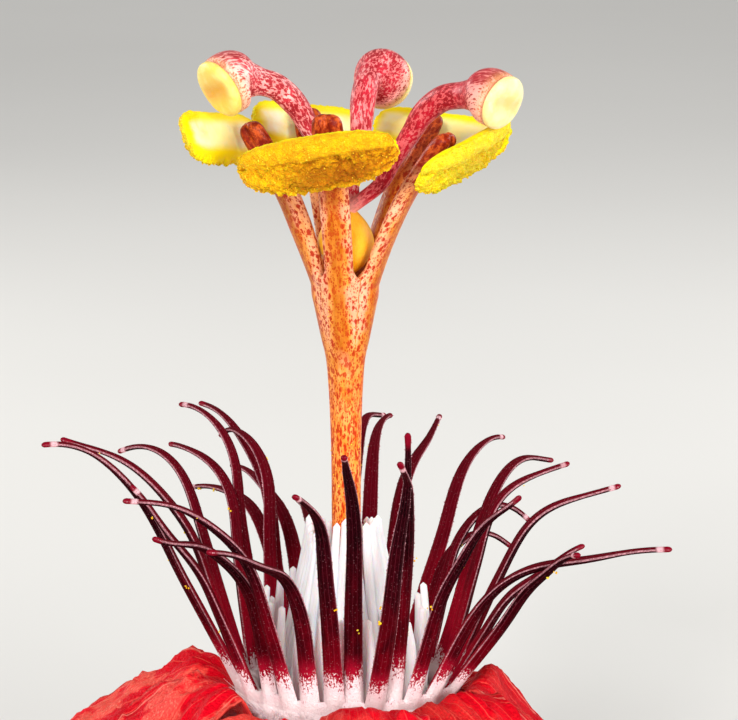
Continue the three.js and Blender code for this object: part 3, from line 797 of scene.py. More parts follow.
def papillaSkin():
    skin = Skin("papilla", 0.45, 0.5)
    colour = skin.mix(skin.luck, tone(104, 24, 40), tone(224, 160, 170))
    return skin.finish(colour, skin.pattern(clouds, Size=0.05, Stretch=1.0), 0.005)


def papillae(chance):
    # fine blunt bumps along both edges of each strap
    centres, radii = [], []
    for _, rings in straps:
        for corner in (0, 10):
            t = chance.uniform(0.1, 0.93, outer["papillae"] * 2) * (len(rings) - 1)
            low = t.astype(int)
            spot = lerp(rings[low, corner], rings[low + 1, corner], (t - low)[:, None])
            centres.append(spot + chance.normal(0, 0.012, spot.shape))
            radii.append(chance.uniform(*outer["papillaSizes"], len(t)))
    return beads(np.vstack(centres), np.concatenate(radii), chance)


addPiece("outerPapillae", [papillae(np.random.default_rng(4))], papillaSkin())
print("outer corona made")


# inner corona: white tube and a short row outside it
inner = dict(
    floor=6, floorTop=0.4, bottom=-0.9, tallCount=15, tallRoot=4.5, tallTip=2.15, tallHeight=12.9,
    tallFirst=3, tallWidth=1.2, pairShift=5.6, shortCount=21, shortRoot=5.55, shortTip=5.75, shortHeight=7,
    shortWidth=1.1, leastHalf=0.16, depth=0.3, bulge=0.25, sway=0.12, turn=25, steps=44, sides=14, columns=96,
)
whiteWidths = [(0, 1), (0.55, 0.8), (0.85, 0.52), (0.96, 0.46), (1, 0.46)]


def whiteSkin():
    skin = Skin("white filament", 0.5, 0.3, (0.35, 0.8))
    broad = skin.pattern(clouds, Size=1.1, Stretch=4.0, Low=0.35, High=0.68)
    streak = skin.pattern(clouds, Size=0.2, Stretch=9.0, Low=0.4, High=0.62)
    fine = skin.pattern(grain, Size=0.09, Stretch=1.5, Fullness=0.8)
    colour = skin.mix(broad, tone(240, 233, 234), tone(250, 247, 248))
    colour = skin.stain(colour, tone(226, 214, 219), streak, 0.25)
    colour = skin.stain(colour, tone(246, 226, 226), skin.fade(skin.length, 0.22, 0.0), 0.5)
    return skin.finish(colour, fine, 0.012)


def whiteFilament(place, root, tip, height, width, luck):
    t = np.linspace(0, 1, inner["steps"])
    reach = lerp(root, tip, smooth(t)) + inner["bulge"] * np.sin(np.pi * t)
    sway = inner["sway"] * np.sin(5 * t + 20 * luck) * smooth(t * 1.5)
    centre = turned(place, reach, height * t) + sideways(place) * sway[:, None]
    half = np.maximum(width / 2 * stations(whiteWidths, t), inner["leastHalf"])
    depth = np.minimum(half, inner["depth"] + 0.04 * np.sin(9 * luck))
    cap = roundEnd(height * (1 - t) / half, 0.02)
    xs, ys, across = oval(half * cap, depth * cap, inner["sides"])
    # each is turned a little about its own length, so that the tube's surface is ridged
    heading = place - inner["turn"] * np.sin(40 * luck)
    points = swept(centre, sideways(heading), outward(heading), xs, ys)
    local = stacked(xs + 91 * luck, ys, (height * t)[:, None])
    return skinOver(points, local, stacked(t[:, None], across, luck))


def makeInnerCorona():
    draw = seeded(11)
    bodies = []
    for i in range(inner["tallCount"]):
        place = inner["tallFirst"] + 360 / inner["tallCount"] * (i + 0.5 + 0.12 * (draw() - 0.5))
        height = inner["tallHeight"] + 1.6 * (draw() - 0.6)
        tip = inner["tallTip"] + 0.5 * draw()
        # two narrow filaments side by side for each of the solid's broad ones, one of them a little shorter
        for k, shift in enumerate((-inner["pairShift"], inner["pairShift"])):
            luck = (i * 2 + k) * 0.37 % 1
            tall = height - 0.9 * luck * (k == i % 2)
            row = (place + shift, inner["tallRoot"], tip, tall, inner["tallWidth"], luck)
            bodies.append(whiteFilament(*row))
    for i in range(inner["shortCount"]):
        place = 360 / inner["shortCount"] * (i + 0.35 * (draw() - 0.5))
        height = inner["shortHeight"] + 2.4 * (draw() - 0.5)
        tip = inner["shortTip"] + 0.5 * (draw() - 0.5)
        luck = i * 0.29 % 1
        bodies.append(whiteFilament(place, inner["shortRoot"], tip, height, inner["shortWidth"], luck))
    edge, top, bottom = inner["floor"], inner["floorTop"], inner["bottom"]
    profile = np.array([(0.2, bottom), (edge, bottom), (edge, 0.2), (edge - 0.2, top), (0.2, top)])
    bodies.append(skinOver(turned(around(inner["columns"]), profile[:, :1], profile[:, 1:])))
    return bodies


addPiece("innerFilaments", makeInnerCorona(), whiteSkin(), ["inner_corona"])
print("inner corona made")


# column with its five stamen filaments
column = dict(
    stamenWidth=2.3, stamenThickness=1.15, turnFrom=0.15, turnLength=0.4, groove=0.62, notch=0.8, start=23.0,
    lobes=0.09, lobeWidth=26.0, dip=0.9, dipWidth=10.0,
    rows=120, columns=48, stamenRows=80, stamenColumns=36, voxel=0.115, softening=6,
)
# place, reach, height and how far its face is turned toward the viewer
stamens = [
    (-12, 6.2, 43, 0),
    (-84, 7, 41.7, 40),
    (-156, 7.2, 41.8, 0),
    (128, 8.2, 41.6, 0),
    (60, 8.5, 41.3, 0),
]
stamenWidths = [(0, 0.6), (0.35, 0.92), (0.75, 0.98), (0.9, 1.02), (1, 0.9)]
stamenDepths = [(0, 0.9), (0.8, 1), (0.93, 1.25), (1, 1.1)]
shaftProfile = [
    (0.2, 0.7), (1.3, 0.75), (1.15, 3), (1.12, 13), (1.14, 17), (1.18, 20.4), (1.24, 22.4), (1.42, 24.7),
    (1.75, 26.2), (2.18, 28.3), (2.42, 29.6), (2.3, 30.4), (0.2, 30.4),
]
# the web that joins the straps above the shaft, and where it dips between two of them
webProfile = np.array([
    (0.2, 29.8), (2.3, 29.8), (2.5, 30.5), (2.6, 31.4), (2.3, 31.7), (1.75, 31.2), (0.9, 30.5), (0.2, 30.5),
])
webDips = (24, 94, 166, -120, -48)


def stamenLine(reach, height):
    knots = [(0.8, 25.4), (1.25, 27.4), (1.75, 29.4)]
    for share, level in ((0.05, 31.2), (0.22, 33.9), (0.46, 36.9), (0.76, 39.6), (1, height)):
        knots.append((lerp(2.0, reach, share), level))
    return curveThrough(knots, column["stamenRows"])


def stamen(place, reach, height, turn):
    line, along, length = stamenLine(reach, height)
    t = np.linspace(0, 1, len(line))
    half = column["stamenWidth"] / 2 * stations(stamenWidths, t)
    depth = column["stamenThickness"] / 2 * stations(stamenDepths, t)
    cap = roundEnd(length * (1 - t) / 0.85, power=2.4)
    xs, ys, across = oval(half * cap, depth * cap, column["stamenColumns"])
    # a groove down the middle and a notch at the end make the tip two-lobed
    middle = hill(across, 0.2)
    knob = ramp(t, 0.7, 0.92)[:, None]
    ys = ys * (1 - column["groove"] * knob * middle)
    forward = turned(place, along[:, 0], along[:, 1])
    level = sideways(place)
    twist = np.radians(turn) * smooth((t - column["turnFrom"]) / column["turnLength"])[:, None]
    side = level * np.cos(twist) + np.cross(forward, level) * np.sin(twist)
    points = swept(turned(place, line[:, 0], line[:, 1]), side, np.cross(side, forward), xs, ys)
    notch = column["notch"] * ramp(t, 0.92, 0.99)[:, None] * middle
    return skinOver(points - forward[:, None] * notch[..., None])


def columnSkin():
    skin = Skin("spotted column", 0.34, 0.15, (0.08, 0.3))
    # the trace's first value is the height here
    high = skin.fade(skin.length, 19.0, 25.0)
    away = skin.apart(skin.across)
    broad = skin.pattern(clouds, Size=1.2, Stretch=2.5, Low=0.36, High=0.64)
    flush = skin.pattern(clouds, Size=1.3, Stretch=1.8, Low=0.48, High=0.64)
    highlightAndTintClouds = skin.pattern(clouds, Size=0.45, Stretch=3.0, Low=0.35, High=0.65)
    patches = skin.pattern(clouds, Size=0.4, Stretch=1.8, Low=0.42, High=0.6)
    streaks = skin.pattern(spots, Size=0.19, Stretch=3.2, Cover=0.33, Ragged=0.5)
    smallSpots = skin.pattern(spots, Size=0.14, Stretch=1.8, Cover=0.24, Ragged=0.6)
    roundSpots = skin.pattern(spots, Size=0.29, Stretch=1.6, Cover=0.27, Ragged=0.7)
    low = skin.mix(broad, tone(242, 108, 14), tone(254, 152, 56))
    above = skin.mix(broad, tone(218, 114, 10), tone(245, 158, 62))
    colour = skin.mix(high, low, above)
    # pale patches painted on as highlights; the same clouds also place the pink blush and pick the olive's
    # two tones
    colour = skin.stain(colour, tone(255, 190, 116), highlightAndTintClouds, 0.4)
    colour = skin.stain(colour, tone(248, 172, 152), flush, skin.fade(skin.length, 21.0, 26.0), 0.5)
    # pale margins, partly the straps' own paler edges and partly painted highlight along them, a pink blush
    # where the straps part, and olive middles
    colour = skin.stain(colour, tone(255, 204, 166), skin.fade(away, 0.55, 0.95), 0.5)
    blush = skin.times(skin.fade(skin.length, 25.5, 28.0), skin.fade(skin.length, 33.5, 30.5), highlightAndTintClouds)
    colour = skin.stain(colour, tone(240, 146, 130), blush, skin.fade(away, 0.4, 0.8), 0.4)
    olive = skin.times(skin.fade(away, 0.6, 0.25), skin.fade(skin.length, 22.5, 27.0))
    colour = skin.stain(colour, skin.mix(highlightAndTintClouds, tone(176, 90, 4), tone(204, 118, 16)), olive, 0.85)
    # streaks and small spots below, larger spots above toward the straps' margins
    lower = skin.times(skin.calc("MAXIMUM", streaks, smallSpots), skin.rest(high))
    larger = skin.times(roundSpots, skin.rest(skin.times(olive, 0.35)))
    upper = skin.times(skin.calc("MAXIMUM", larger, skin.times(smallSpots, 0.85)), high)
    spotted = skin.calc("ADD", lower, upper, True)
    colour = skin.stain(colour, skin.mix(high, tone(188, 38, 0), tone(176, 32, 0)), spotted, 0.95)
    rust = skin.mix(patches, tone(140, 34, 12), tone(204, 88, 36))
    rust = skin.stain(rust, tone(112, 14, 8), spotted, 0.7)
    colour = skin.stain(colour, rust, skin.fade(skin.length, 35.5, 40.0))
    return skin.finish(colour, skin.pattern(grain, Size=0.12, Stretch=2.0, Fullness=0.8), 0.012)


def fused(bodies):
    # bodies that grow into one another, as one softened skin in millimetres
    mesh = bpy.data.meshes.new("column")
    points, faces = gathered(bodies)
    mesh.from_pydata(points.tolist(), [], faces)
    rough = addObject("column", mesh)
    fuse = rough.modifiers.new("fuse", "REMESH")
    fuse.mode = "VOXEL"
    fuse.voxel_size = column["voxel"]
    soften = rough.modifiers.new("soften", "SMOOTH")
    soften.factor = 0.5
    soften.iterations = column["softening"]
    shape = rough.evaluated_get(bpy.context.evaluated_depsgraph_get()).to_mesh()
    points = np.array([v.co[:] for v in shape.vertices])
    faces = [list(p.vertices) for p in shape.polygons]
    bpy.data.objects.remove(rough)
    return points, faces


def makeColumn():
    line, _, _ = curveThrough(shaftProfile, column["rows"])
    angle = around(column["columns"])
    lobes = column["lobes"] * hillsAt(angle, [row[0] for row in stamens], column["lobeWidth"])
    radius = line[:, :1] * (0.94 + lobes * ramp(line[:, 1:], 16, 24))
    shaft = skinOver(turned(angle, radius, line[:, 1:]))
    dip = column["dip"] * hillsAt(angle, webDips, column["dipWidth"]) * ramp(webProfile[:, 1:], 30.2, 31)
    web = skinOver(turned(angle, webProfile[:, :1], webProfile[:, 1:] - dip))
    points, faces = fused([shaft, web] + [stamen(*row) for row in stamens])
    # each point's place as if its strap stood straight up, for the spots
    local = points.copy()
    across = np.zeros(len(points))
    nearest = np.full(len(points), 1e9)
    z = points[:, 2]
    for place, reach, height, _ in stamens:
        line, _, _ = stamenLine(reach, height)
        r = points @ outward(place)
        k = ((r[:, None] - line[None, :, 0]) ** 2 + (z[:, None] - line[None, :, 1]) ** 2).argmin(1)
        aside = points @ sideways(place)
        away = (r - line[k, 0]) ** 2 + (z - line[k, 1]) ** 2 + aside**2
        won = (away < nearest) & (z > column["start"])
        nearest[won] = away[won]
        local[won] = points[won] - outward(place) * (line[k[won], 0] - line[0, 0])[:, None]
        across[won] = aside[won] / (column["stamenWidth"] / 2) * smooth((z[won] - column["start"]) / 3)
    side = np.zeros((len(points), 1))
    return {"points": points, "local": local, "trace": stacked(z, across, 0.0), "side": side, "faces": faces}


addPiece("spottedColumn", [makeColumn()], columnSkin(), ["column"])
print("column made")


# anthers
anthers = dict(
    length=11.2, width=4.3, thickness=1.9, bluntness=0.72, bow=0.55, trough=0.45, worn=0.55, lumps=0.16,
    crumbs=0.5, fineCrumbs=0.24, bareCrumbs=0.2, teeth=0.3, broadTeeth=0.2, grains=420,
    grainSizes=(0.03, 0.07), rings=140, sides=110,
)
# distance, height, slide, turn, dip, roll
antherPoses = [
    (7.4, 39.7, -0.4, 4, -10, 28),
    (9.1, 40.6, -0.1, -31, -8, 24),
    (8.95, 40, -0.9, 18, -9, 26),
    (9.4, 39.8, 0.7, 20, -3, 44),
    (9.8, 39.8, 0.1, -3, -10, 32),
]


def antherSkin(name, wear, fresh):
    skin = Skin(name, 0.55, 0.15, (0.3, 0.8))
    pollen = skin.fade(skin.side, -0.1, 0.12)
    clump = skin.pattern(clouds, Size=0.5, Low=0.38, High=0.62)
    grains = skin.pattern(grain, Size=0.11, Fullness=0.8)
    mealy = skin.pattern(clouds, Size=0.14, Low=0.4, High=0.6)
    broad = skin.pattern(clouds, Size=2.0, Stretch=1.0, Low=0.38, High=0.62)
    dusty = skin.stain(skin.mix(clump, *fresh), tone(255, 226, 50), mealy, 0.25)
    # the middle and lower part of the dusty side is worn to ochre crumbs, its upper lip stays bright
    worn = skin.times(skin.fade(skin.across, 0.5, 0.2), skin.fade(skin.across, -0.98, -0.6))
    crumb = skin.mix(clump, tone(206, 124, 0), tone(238, 164, 2))
    crumb = skin.stain(crumb, tone(252, 200, 24), mealy, 0.3)
    # darker in the creases between crumbs, painted shade, and in darker patches; the trace's third value
    # holds this mask here
    crumb = skin.stain(crumb, tone(178, 96, 0), skin.fade(skin.luck, 0.2, 0.9), 0.85)
    # painted shade: the lower middle of the dusty side is darker brown
    lower = skin.times(skin.fade(skin.across, 0.2, -0.35), skin.fade(skin.across, -0.95, -0.6))
    lower = skin.times(lower, skin.fade(skin.apart(skin.length), 0.85, 0.3), skin.halfPlus(broad, 0.6))
    crumb = skin.stain(crumb, tone(164, 84, 0), lower, 0.85)
    dusty = skin.stain(dusty, crumb, worn, skin.fade(skin.length, -0.6, 0.1), wear)
    # the inner side is cream with a green middle and yellow rims
    clean = skin.mix(broad, tone(250, 234, 150), tone(252, 244, 206))
    clean = skin.stain(clean, tone(196, 210, 80), skin.fade(skin.apart(skin.length), 0.42, 0.12), broad, 0.6)
    ends = skin.fade(skin.apart(skin.length), 0.7, 0.93)
    rims = skin.calc("MAXIMUM", skin.fade(skin.apart(skin.across), 0.32, 0.7), ends)
    clean = skin.stain(clean, tone(250, 228, 0), rims)
    height = skin.times(skin.calc("ADD", grains, mealy), pollen)
    return skin.finish(skin.stain(clean, dusty, pollen), height, 0.06)


def turnedBy(points, axis, degrees):
    c, s = np.cos(np.radians(degrees)), np.sin(np.radians(degrees))
    matrix = {
        "x": [[1, 0, 0], [0, c, -s], [0, s, c]],
        "y": [[c, 0, s], [0, 1, 0], [-s, 0, c]],
        "z": [[c, -s, 0], [s, c, 0], [0, 0, 1]],
    }[axis]
    return points @ np.array(matrix).T


def posed(points, index):
    place = stamens[index][0]
    distance, height, slide, turn, dip, roll = antherPoses[index]
    points = turnedBy(turnedBy(turnedBy(points, "x", roll), "y", dip), "z", place + turn)
    return points + outward(place) * distance + sideways(place) * slide + up * height


def anther(index):
    # x runs along it, w is +1 at the upper rim before the roll, and y is +1 on the smooth inner side
    polar = np.linspace(0.001, np.pi - 0.001, anthers["rings"])[:, None]
    angle = np.linspace(0, 2 * np.pi, anthers["sides"], endpoint=False)[None]
    x = np.cos(polar)
    w = np.sin(angle)
    y = np.cos(angle)
    full = 0.06 if index == 0 else -0.12
    girth = np.sin(polar) ** anthers["bluntness"] * (1 + full * np.sin(polar) ** 6)
    blunt = np.sign(x) * np.abs(x) ** anthers["bluntness"]
    # the inner side is hollowed along two troughs with a low ridge between them
    hollow = np.clip(1 - w * w, 0, 1) ** 1.2 * (1 - 0.3 * hill(w, 0.16))
    trough = anthers["trough"] * hollow * (1 - hill(x, 0.2)) * (y > 0)
    worn = anthers["worn"] * hill(w, 0.5) * smooth((1 - np.abs(x)) / 0.3) * (y < 0)
    depth = y * girth * (1 - trough - worn)
    size = np.array([anthers["length"], anthers["thickness"], anthers["width"]])
    flat = stacked(blunt, depth, w * girth) * size / 2
    # lumpy pollen outside
    warp = 0.2 * roughly(flat, 0.33, 2.2 * index)[..., None]
    crumbs, crease = crumbled(flat + warp, 0.36, 3.1 * index)
    fineCrumbs, _ = crumbled(flat - warp, 0.19, 7.7 * index)
    patchy = smooth(0.5 + 1.1 * roughly(flat, 0.6, 6.1 * index))
    # the creases, where the material paints shade, mixed with darker patches
    crease = np.clip(0.75 * crease + 0.35 * patchy - 0.1, 0, 1)
    coarse = smooth((0.42 - w) / 0.2) * ramp(w, -1.02, -0.77) * ramp(x, -0.88, -0.58)
    lumps = anthers["crumbs"] * crumbs + anthers["fineCrumbs"] * fineCrumbs - anthers["bareCrumbs"] * patchy
    lumps = lumps * (0.15 + 0.85 * coarse) + anthers["lumps"] * roughly(flat, 0.8, 1.3 * index)
    flat[..., 1] -= smooth((0.15 - y) / 0.4) * girth * (lumps + 0.05)
    # ragged teeth along the rims
    rim = hill(np.abs(w) - 1, 0.16) * girth**0.3
    alongRim = flat * [1, 0.3, 0.3]
    teeth = anthers["teeth"] * roughly(alongRim, 0.22, 5.3 * index)
    teeth = teeth + anthers["broadTeeth"] * roughly(alongRim, 0.6, index)
    flat[..., 2] += rim * np.sign(w) * np.where(w < 0, teeth, 0.3 * teeth)
    # uneven ends
    ends = ramp(np.abs(x), 0.8, 1.0)
    flat[..., 0] += 0.5 * ends * (x < 0) * hill(w - 0.3, 0.24)
    uneven = 0.16 * roughly(flat, 0.3, 2.9 * index) + 0.2 * roughly(flat, 0.9, 4.1 * index)
    flat[..., 0] += ends * np.sign(x) * uneven
    local = flat + [30.0 * index, 0, 0]
    flat[..., 1] += anthers["bow"] * x * x
    side = np.broadcast_to(-y, flat.shape[:2])
    body = skinOver(posed(flat, index), local, stacked(x, w, crease), side)
    # loose grains on the dusty side and along the lower rim
    chance = np.random.default_rng(100 + index)
    count = anthers["grains"]
    rows = chance.integers(4, anthers["rings"] - 4, count)
    onSide = chance.integers(32, 78, count)
    onRim = chance.normal(82, 3, count).astype(int)
    columns = np.where(chance.random(count) < 0.5, onSide, onRim) % anthers["sides"]
    size = chance.uniform(*anthers["grainSizes"], count)
    return body, beads(posed(flat[rows, columns], index), size, chance)


def grainSkin():
    skin = Skin("pollen grain", 0.6, 0.1, (0.1, 0.2))
    colour = skin.mix(skin.luck, tone(238, 170, 4), tone(255, 222, 60))
    return skin.finish(colour, skin.pattern(clouds, Size=0.03, Stretch=1.0), 0.004)


antherMaterials = [
    antherSkin("worn anther", 0.95, (tone(240, 164, 0), tone(252, 196, 2))),
    antherSkin("fresh anther", 0.3, (tone(252, 214, 8), tone(255, 236, 44))),
]
grainMaterial = grainSkin()
for index in range(len(stamens)):
    body, dust = anther(index)
    material = antherMaterials[min(index, 1)]
    addPiece(f"antherBoat{index + 1}", [body], material, [f"anther_{index + 1}"])
    addPiece(f"antherDust{index + 1}", [dust], grainMaterial)
print("anthers made")


# ovary
ovary = dict(foot=30.7, height=4.9, radius=2, ribs=0.025, rows=60, columns=64)
ovaryShape = [
    (0, 0.02), (0.01, 0.25), (0.08, 0.5), (0.2, 0.76), (0.34, 0.94), (0.48, 1), (0.62, 0.92), (0.76, 0.74),
    (0.88, 0.5), (0.97, 0.28), (1.02, 0.02),
]


def ovarySkin():
    skin = Skin("amber ovary", 0.45, 0.1, (0.3, 0.8))
    broad = skin.pattern(clouds, Size=1.4, Stretch=2.0, Low=0.36, High=0.66)
    colour = skin.mix(broad, tone(236, 164, 24), tone(244, 184, 50))
    colour = skin.stain(colour, tone(250, 206, 170), skin.fade(skin.length, 0.9, 1.0), 0.7)
    return skin.finish(colour, skin.pattern(grain, Size=0.1, Fullness=0.8), 0.01)


def makeOvary():
    knots = [(r * ovary["radius"], ovary["foot"] + h * ovary["height"]) for h, r in ovaryShape]
    line, _, _ = curveThrough(knots, ovary["rows"])
    angle = around(ovary["columns"])
    radius = line[:, :1] * (1 + ovary["ribs"] * np.cos(np.radians(angle) * 3))
    points = turned(angle, radius, line[:, 1:])
    t = (line[:, 1:] - ovary["foot"]) / ovary["height"]
    return skinOver(points, points, stacked(t, 0 * angle, 0.0))


addPiece("amberOvary", [makeOvary()], ovarySkin(), ["ovary"])


# styles and stigmas
styles = dict(
    fork=(0.15, -0.05, 35.35), root=0.46, neck=0.95, heads=(2.2, 2.15, 2), stigma=0.75, groove=0.14,
    stigmaBase=0.12, steps=140, sides=44, stigmaRows=44, stigmaSides=64,
)
stylePoints = [
    [
        (-0.6, 0, 35.9), (-1, 0.2, 38), (-1.7, 0.1, 39.7), (-2.5, -0.1, 41.1), (-3.3, -0.4, 42.6),
        (-4, -0.8, 43.5), (-4.9, -1.4, 44.3), (-5.9, -2.1, 44.7), (-6.8, -2.6, 44.9), (-7.7, -3.1, 45),
        (-8.4, -3.6, 44.6),
    ],
    [
        (0.45, 0.9, 35.9), (0.4, 1.3, 38.2), (1, 1.6, 40.1), (1.1, 1.8, 41.4), (1.2, 2.3, 42.7),
        (1.4, 3.2, 43.6), (1.7, 4.6, 44.1), (2.3, 5.8, 44.2), (2.7, 6.6, 43.8),
    ],
    [
        (1, -0.65, 36.1), (2.5, -0.3, 37.3), (3.4, -0.1, 38.9), (4, -0.1, 39.9), (4.7, -0.3, 41),
        (5.3, -0.8, 42.1), (6, -1.4, 42.9), (6.9, -2.3, 43.6), (8, -3.3, 43.9), (9, -4.5, 44.1),
        (9.8, -5.4, 44.2), (10.5, -6, 43.9),
    ],
]
styleGuides = [(0, 1, 0), (1, 0, 0), (0, 1, 0)]
stigmaProfile = [
    (0.1, 0.05), (0.84, 0.02), (0.94, 0.12), (0.97, 0.4), (0.92, 0.75), (0.76, 1), (0.48, 1.08), (0.05, 1.1),
]


def styleSkin():
    skin = Skin("netted style", 0.33, 0.14, (0.05, 0.3))
    dashes = skin.pattern(spots, Size=0.21, Stretch=2.2, Cover=0.32, Ragged=0.9)
    net = skin.pattern(clouds, Size=0.19, Stretch=2.0, Low=0.5, High=0.54)
    dots = skin.pattern(spots, Size=0.18, Stretch=1.5, Cover=0.27, Ragged=0.7)
    broad = skin.pattern(clouds, Size=1.1, Stretch=1.6, Low=0.4, High=0.62)
    shade = skin.pattern(clouds, Size=1.7, Stretch=1.4, Low=0.4, High=0.6)
    pale = skin.mix(broad, tone(244, 146, 144), tone(253, 196, 190))
    dark = skin.mix(broad, tone(150, 0, 22), tone(200, 4, 44))
    pale = skin.stain(pale, tone(222, 60, 76), shade, 0.35)
    # each later style is tinted darker, the right-hand one most: partly its own deeper colour and partly
    # painted shade
    pale = skin.stain(pale, tone(216, 74, 80), skin.fade(skin.luck, 0.0, 0.6, 0.0, 0.8))
    # a net of dashes along the shaft gives way to dots on a paler ground below the head's rim
    end = skin.times(skin.fade(skin.length, 0.88, 0.96), skin.fade(skin.across, 0.7, -0.2, 0.4, 1.0))
    pale = skin.stain(pale, tone(255, 208, 188), end, 0.55)
    netted = skin.times(skin.calc("MAXIMUM", dashes, net), skin.fade(end, 0.75, 0.3))
    netted = skin.calc("MAXIMUM", netted, skin.times(dots, skin.fade(skin.length, 0.86, 0.9)))
    colour = skin.stain(pale, dark, netted, 0.92)
    colour = skin.stain(colour, tone(250, 206, 130), skin.fade(skin.length, 0.955, 1.0), 0.3)
    colour = skin.stain(colour, tone(250, 196, 186), skin.fade(skin.length, 0.12, 0.0), 0.8)
    return skin.finish(colour, skin.pattern(grain, Size=0.1, Stretch=1.6, Fullness=0.8), 0.01)


def makeStyle(index):
    # the styles grow together in a short fork on the ovary's top
    line, along, length = curveThrough([styles["fork"]] + stylePoints[index], styles["steps"])
    t = np.linspace(0, 1, len(line))
    root, neck, head = styles["root"], styles["neck"], styles["heads"][index]
    radii = [
        (0, root), (0.3, root * 1.25), (0.6, neck * 0.95), (0.8, neck), (0.87, head * 0.6),
        (0.93, head * 0.93), (0.965, head), (1, head * 0.97),
    ]
    radius = np.convolve(np.pad(stations(radii, t), 3, mode="edge"), np.ones(7) / 7, "valid")
    side = np.cross(styleGuides[index], along)
    side = side / np.linalg.norm(side, axis=1)[:, None]
    face = np.cross(side, along)
    xs, ys, across = oval(radius, radius, styles["sides"])
    upper = across * np.sign(side[-1, 2])
    local = stacked(xs + 9 * index, ys, (t * length)[:, None])
    body = skinOver(swept(line, side, face, xs, ys), local, stacked(t[:, None], upper, 0.3 * index))
    return body, (line[-1], along[-1], side[-1], face[-1])


def stigmaSkin(name, tones, depth):
    skin = Skin(name, 0.42, 0.4, (0.3, 0.6))
    broad = skin.pattern(clouds, Size=1.0, Stretch=1.0, Low=0.38, High=0.64)
    colour = skin.mix(broad, *tones)
    # amber in the groove across the face, partly the stigma's own amber and partly painted shade in the
    # hollow; paler and rounded toward the rim
    groove = skin.times(skin.fade(skin.apart(skin.across), 0.62, 0.0), skin.fade(skin.luck, 0.9, 0.55))
    colour = skin.stain(colour, tone(226, 158, 20), groove, depth)
    colour = skin.stain(colour, tone(244, 214, 84), skin.fade(skin.length, 0.3, 0.0), 0.6)
    return skin.finish(colour, skin.pattern(grain, Size=0.07, Fullness=0.8), 0.012)


def makeStigma(index, end):
    # the trace holds the height on the dome, the distance across the groove and the distance from the middle
    centre, along, side, face = end
    head = styles["heads"][index]
    line, _, _ = curveThrough(stigmaProfile, styles["stigmaRows"])
    x, y, _ = oval(line[:, 0] * head, line[:, 0] * head, styles["stigmaSides"])
    dent = hill(x, 0.34 * head) * smooth((1 - line[:, :1]) / 0.35) * smooth(line[:, 1:] * 2)
    reach = line[:, 1:] * styles["stigma"] + styles["stigmaBase"] - styles["groove"] * dent
    reach = reach + 0.02 * roughly(stacked(x, y, 9 * index), 0.7)
    points = centre + side * x[..., None] + face * y[..., None] + along * reach[..., None]
    return skinOver(points, stacked(x + 9 * index, y, reach), stacked(line[:, 1:], x / head, line[:, :1]))


styleMaterial = styleSkin()
stigmaMaterials = [
    stigmaSkin("amber stigma", (tone(246, 212, 96), tone(252, 226, 130)), 0.8),
    stigmaSkin("cream stigma", (tone(250, 228, 152), tone(252, 238, 182)), 0.45),
]
for index in range(len(stylePoints)):
    body, end = makeStyle(index)
    addPiece(f"nettedStyle{index + 1}", [body], styleMaterial, [f"style_{index + 1}"])
    dome = makeStigma(index, end)
    material = stigmaMaterials[min(index, 1)]
    addPiece(f"creamStigma{index + 1}", [dome], material, [f"stigma_{index + 1}"])
print("styles made")


# pollen that fell on the straps and the column, and hairs at the corona's foot
fallen = dict(
    clusters=34, perCluster=6, spread=0.12, sizes=(0.05, 0.1), onColumn=70, columnHeights=(13, 29),
    columnSizes=(0.03, 0.055), hairs=230, hairRing=(7.85, 8.3), hairLengths=(0.5, 1.5), hairRadius=0.03,
)


def fallenPollen(chance):
    centres = []
    for _ in range(fallen["clusters"]):
        _, rings = straps[chance.integers(len(straps))]
        row = chance.integers(len(rings) // 4, len(rings) - 12)
        corner = chance.integers(0, 11)
        count = 1 + chance.integers(fallen["perCluster"])
        centres.append(rings[row, corner] + chance.normal(0, fallen["spread"], (count, 3)) * [1, 1, 0.6])
    centres = np.vstack(centres)
    angle = chance.uniform(0, 360, fallen["onColumn"])
    height = chance.uniform(*fallen["columnHeights"], fallen["onColumn"])
    line, _, _ = curveThrough(shaftProfile, 200)
    wall = line[(line[:, 1] > 2) & (line[:, 1] < 30)]
    radius = np.interp(height, wall[:, 1], wall[:, 0]) * 0.98
    onColumn = turned(angle, radius, height)
    sizes = chance.uniform(*fallen["sizes"], len(centres))
    columnSizes = chance.uniform(*fallen["columnSizes"], len(onColumn))
    return beads(np.vstack([centres, onColumn]), np.concatenate([sizes, columnSizes]), chance)


def footHairs(chance):
    bodies = []
    for _ in range(fallen["hairs"]):
        place = chance.uniform(-75, -15) if chance.random() < 0.5 else chance.uniform(-180, 180)
        base = outward(place) * chance.uniform(*fallen["hairRing"]) + up * chance.uniform(-0.5, 0.3)
        out = outward(place + chance.normal(0, 35)) + up * chance.uniform(0.1, 1.0)
        length = chance.uniform(*fallen["hairLengths"])
        t = np.linspace(0, 1, 6)[:, None]
        bend = sideways(place) * chance.normal(0, 0.25)
        centre = base + (out * t + bend * t**2) * length
        radius = fallen["hairRadius"] * (1 - 0.75 * t)
        bodies.append(skinOver(centre[:, None] + outward(around(5)) * radius[:, None]))
    return bodies


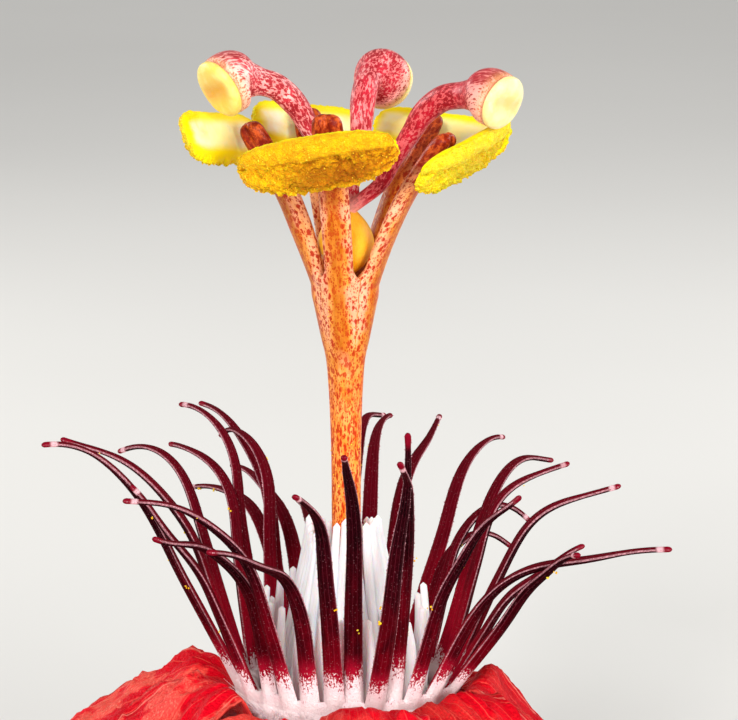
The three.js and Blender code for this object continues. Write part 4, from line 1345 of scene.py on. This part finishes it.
chance = np.random.default_rng(21)
addPiece("fallenPollen", [fallenPollen(chance)], grainMaterial)
addPiece("footHairs", footHairs(chance), whiteSkin())
print("pollen and hairs made")


# floor and light
stageLook = dict(floorSize=6.0, world=0.4, sun=2.2, sunWidth=14, sunFrom=(-0.3, -0.95, 0.5))
lamps = {  # place, target and width in millimetres, watts, colour
    "rimLeft": ((-300, 220, 170), (0, 0, 50), 160, 0.75, (1.0, 0.99, 0.97)),
    "rimRight": ((320, 200, 190), (0, 0, 50), 160, 0.75, (1.0, 1.0, 1.0)),
    "front": ((360, -640, 170), (0, 0, 45), 280, 4.2, (1.0, 0.99, 0.97)),
}


def floorMaterial():
    skin = Skin("pale floor", 0.7, 0.5)
    place = addNode(skin.tree, "ShaderNodeTexCoord").outputs["Object"]
    broad = skin.pattern(clouds, Place=place, Size=0.4, Stretch=1.0, Low=0.3, High=0.7)
    return skin.finish(skin.mix(broad, tone(214, 213, 210), tone(219, 218, 215)))


def addFloor():
    half = stageLook["floorSize"] / 2
    mesh = bpy.data.meshes.new("floor")
    corners = [(-half, -half, 0), (half, -half, 0), (half, half, 0), (-half, half, 0)]
    mesh.from_pydata(corners, [], [[0, 1, 2, 3]])
    mesh.materials.append(floorMaterial())
    floor = addObject("floor", mesh)
    floor.location.z = -0.02 * mm


def addLamps():
    for name, (place, target, width, watts, colour) in lamps.items():
        data = bpy.data.lights.new(name, "AREA")
        data.size = width * mm
        data.energy = watts
        data.color = colour
        lamp = addObject(name, data)
        lamp.location = Vector(place) * mm
        lamp.rotation_euler = facing(Vector(place) - Vector(target))
    data = bpy.data.lights.new("sun", "SUN")
    data.energy = stageLook["sun"]
    data.angle = np.radians(stageLook["sunWidth"])
    addObject("sun", data).rotation_euler = facing(stageLook["sunFrom"])
    world = bpy.data.worlds.new("studio")
    world.use_nodes = True
    world.node_tree.nodes["Background"].inputs["Color"].default_value = (1.0, 0.99, 0.97, 1)
    world.node_tree.nodes["Background"].inputs["Strength"].default_value = stageLook["world"]
    bpy.context.scene.world = world
    bpy.context.scene.view_settings.view_transform = "Standard"


addFloor()
addLamps()
print("floor and lamps set")
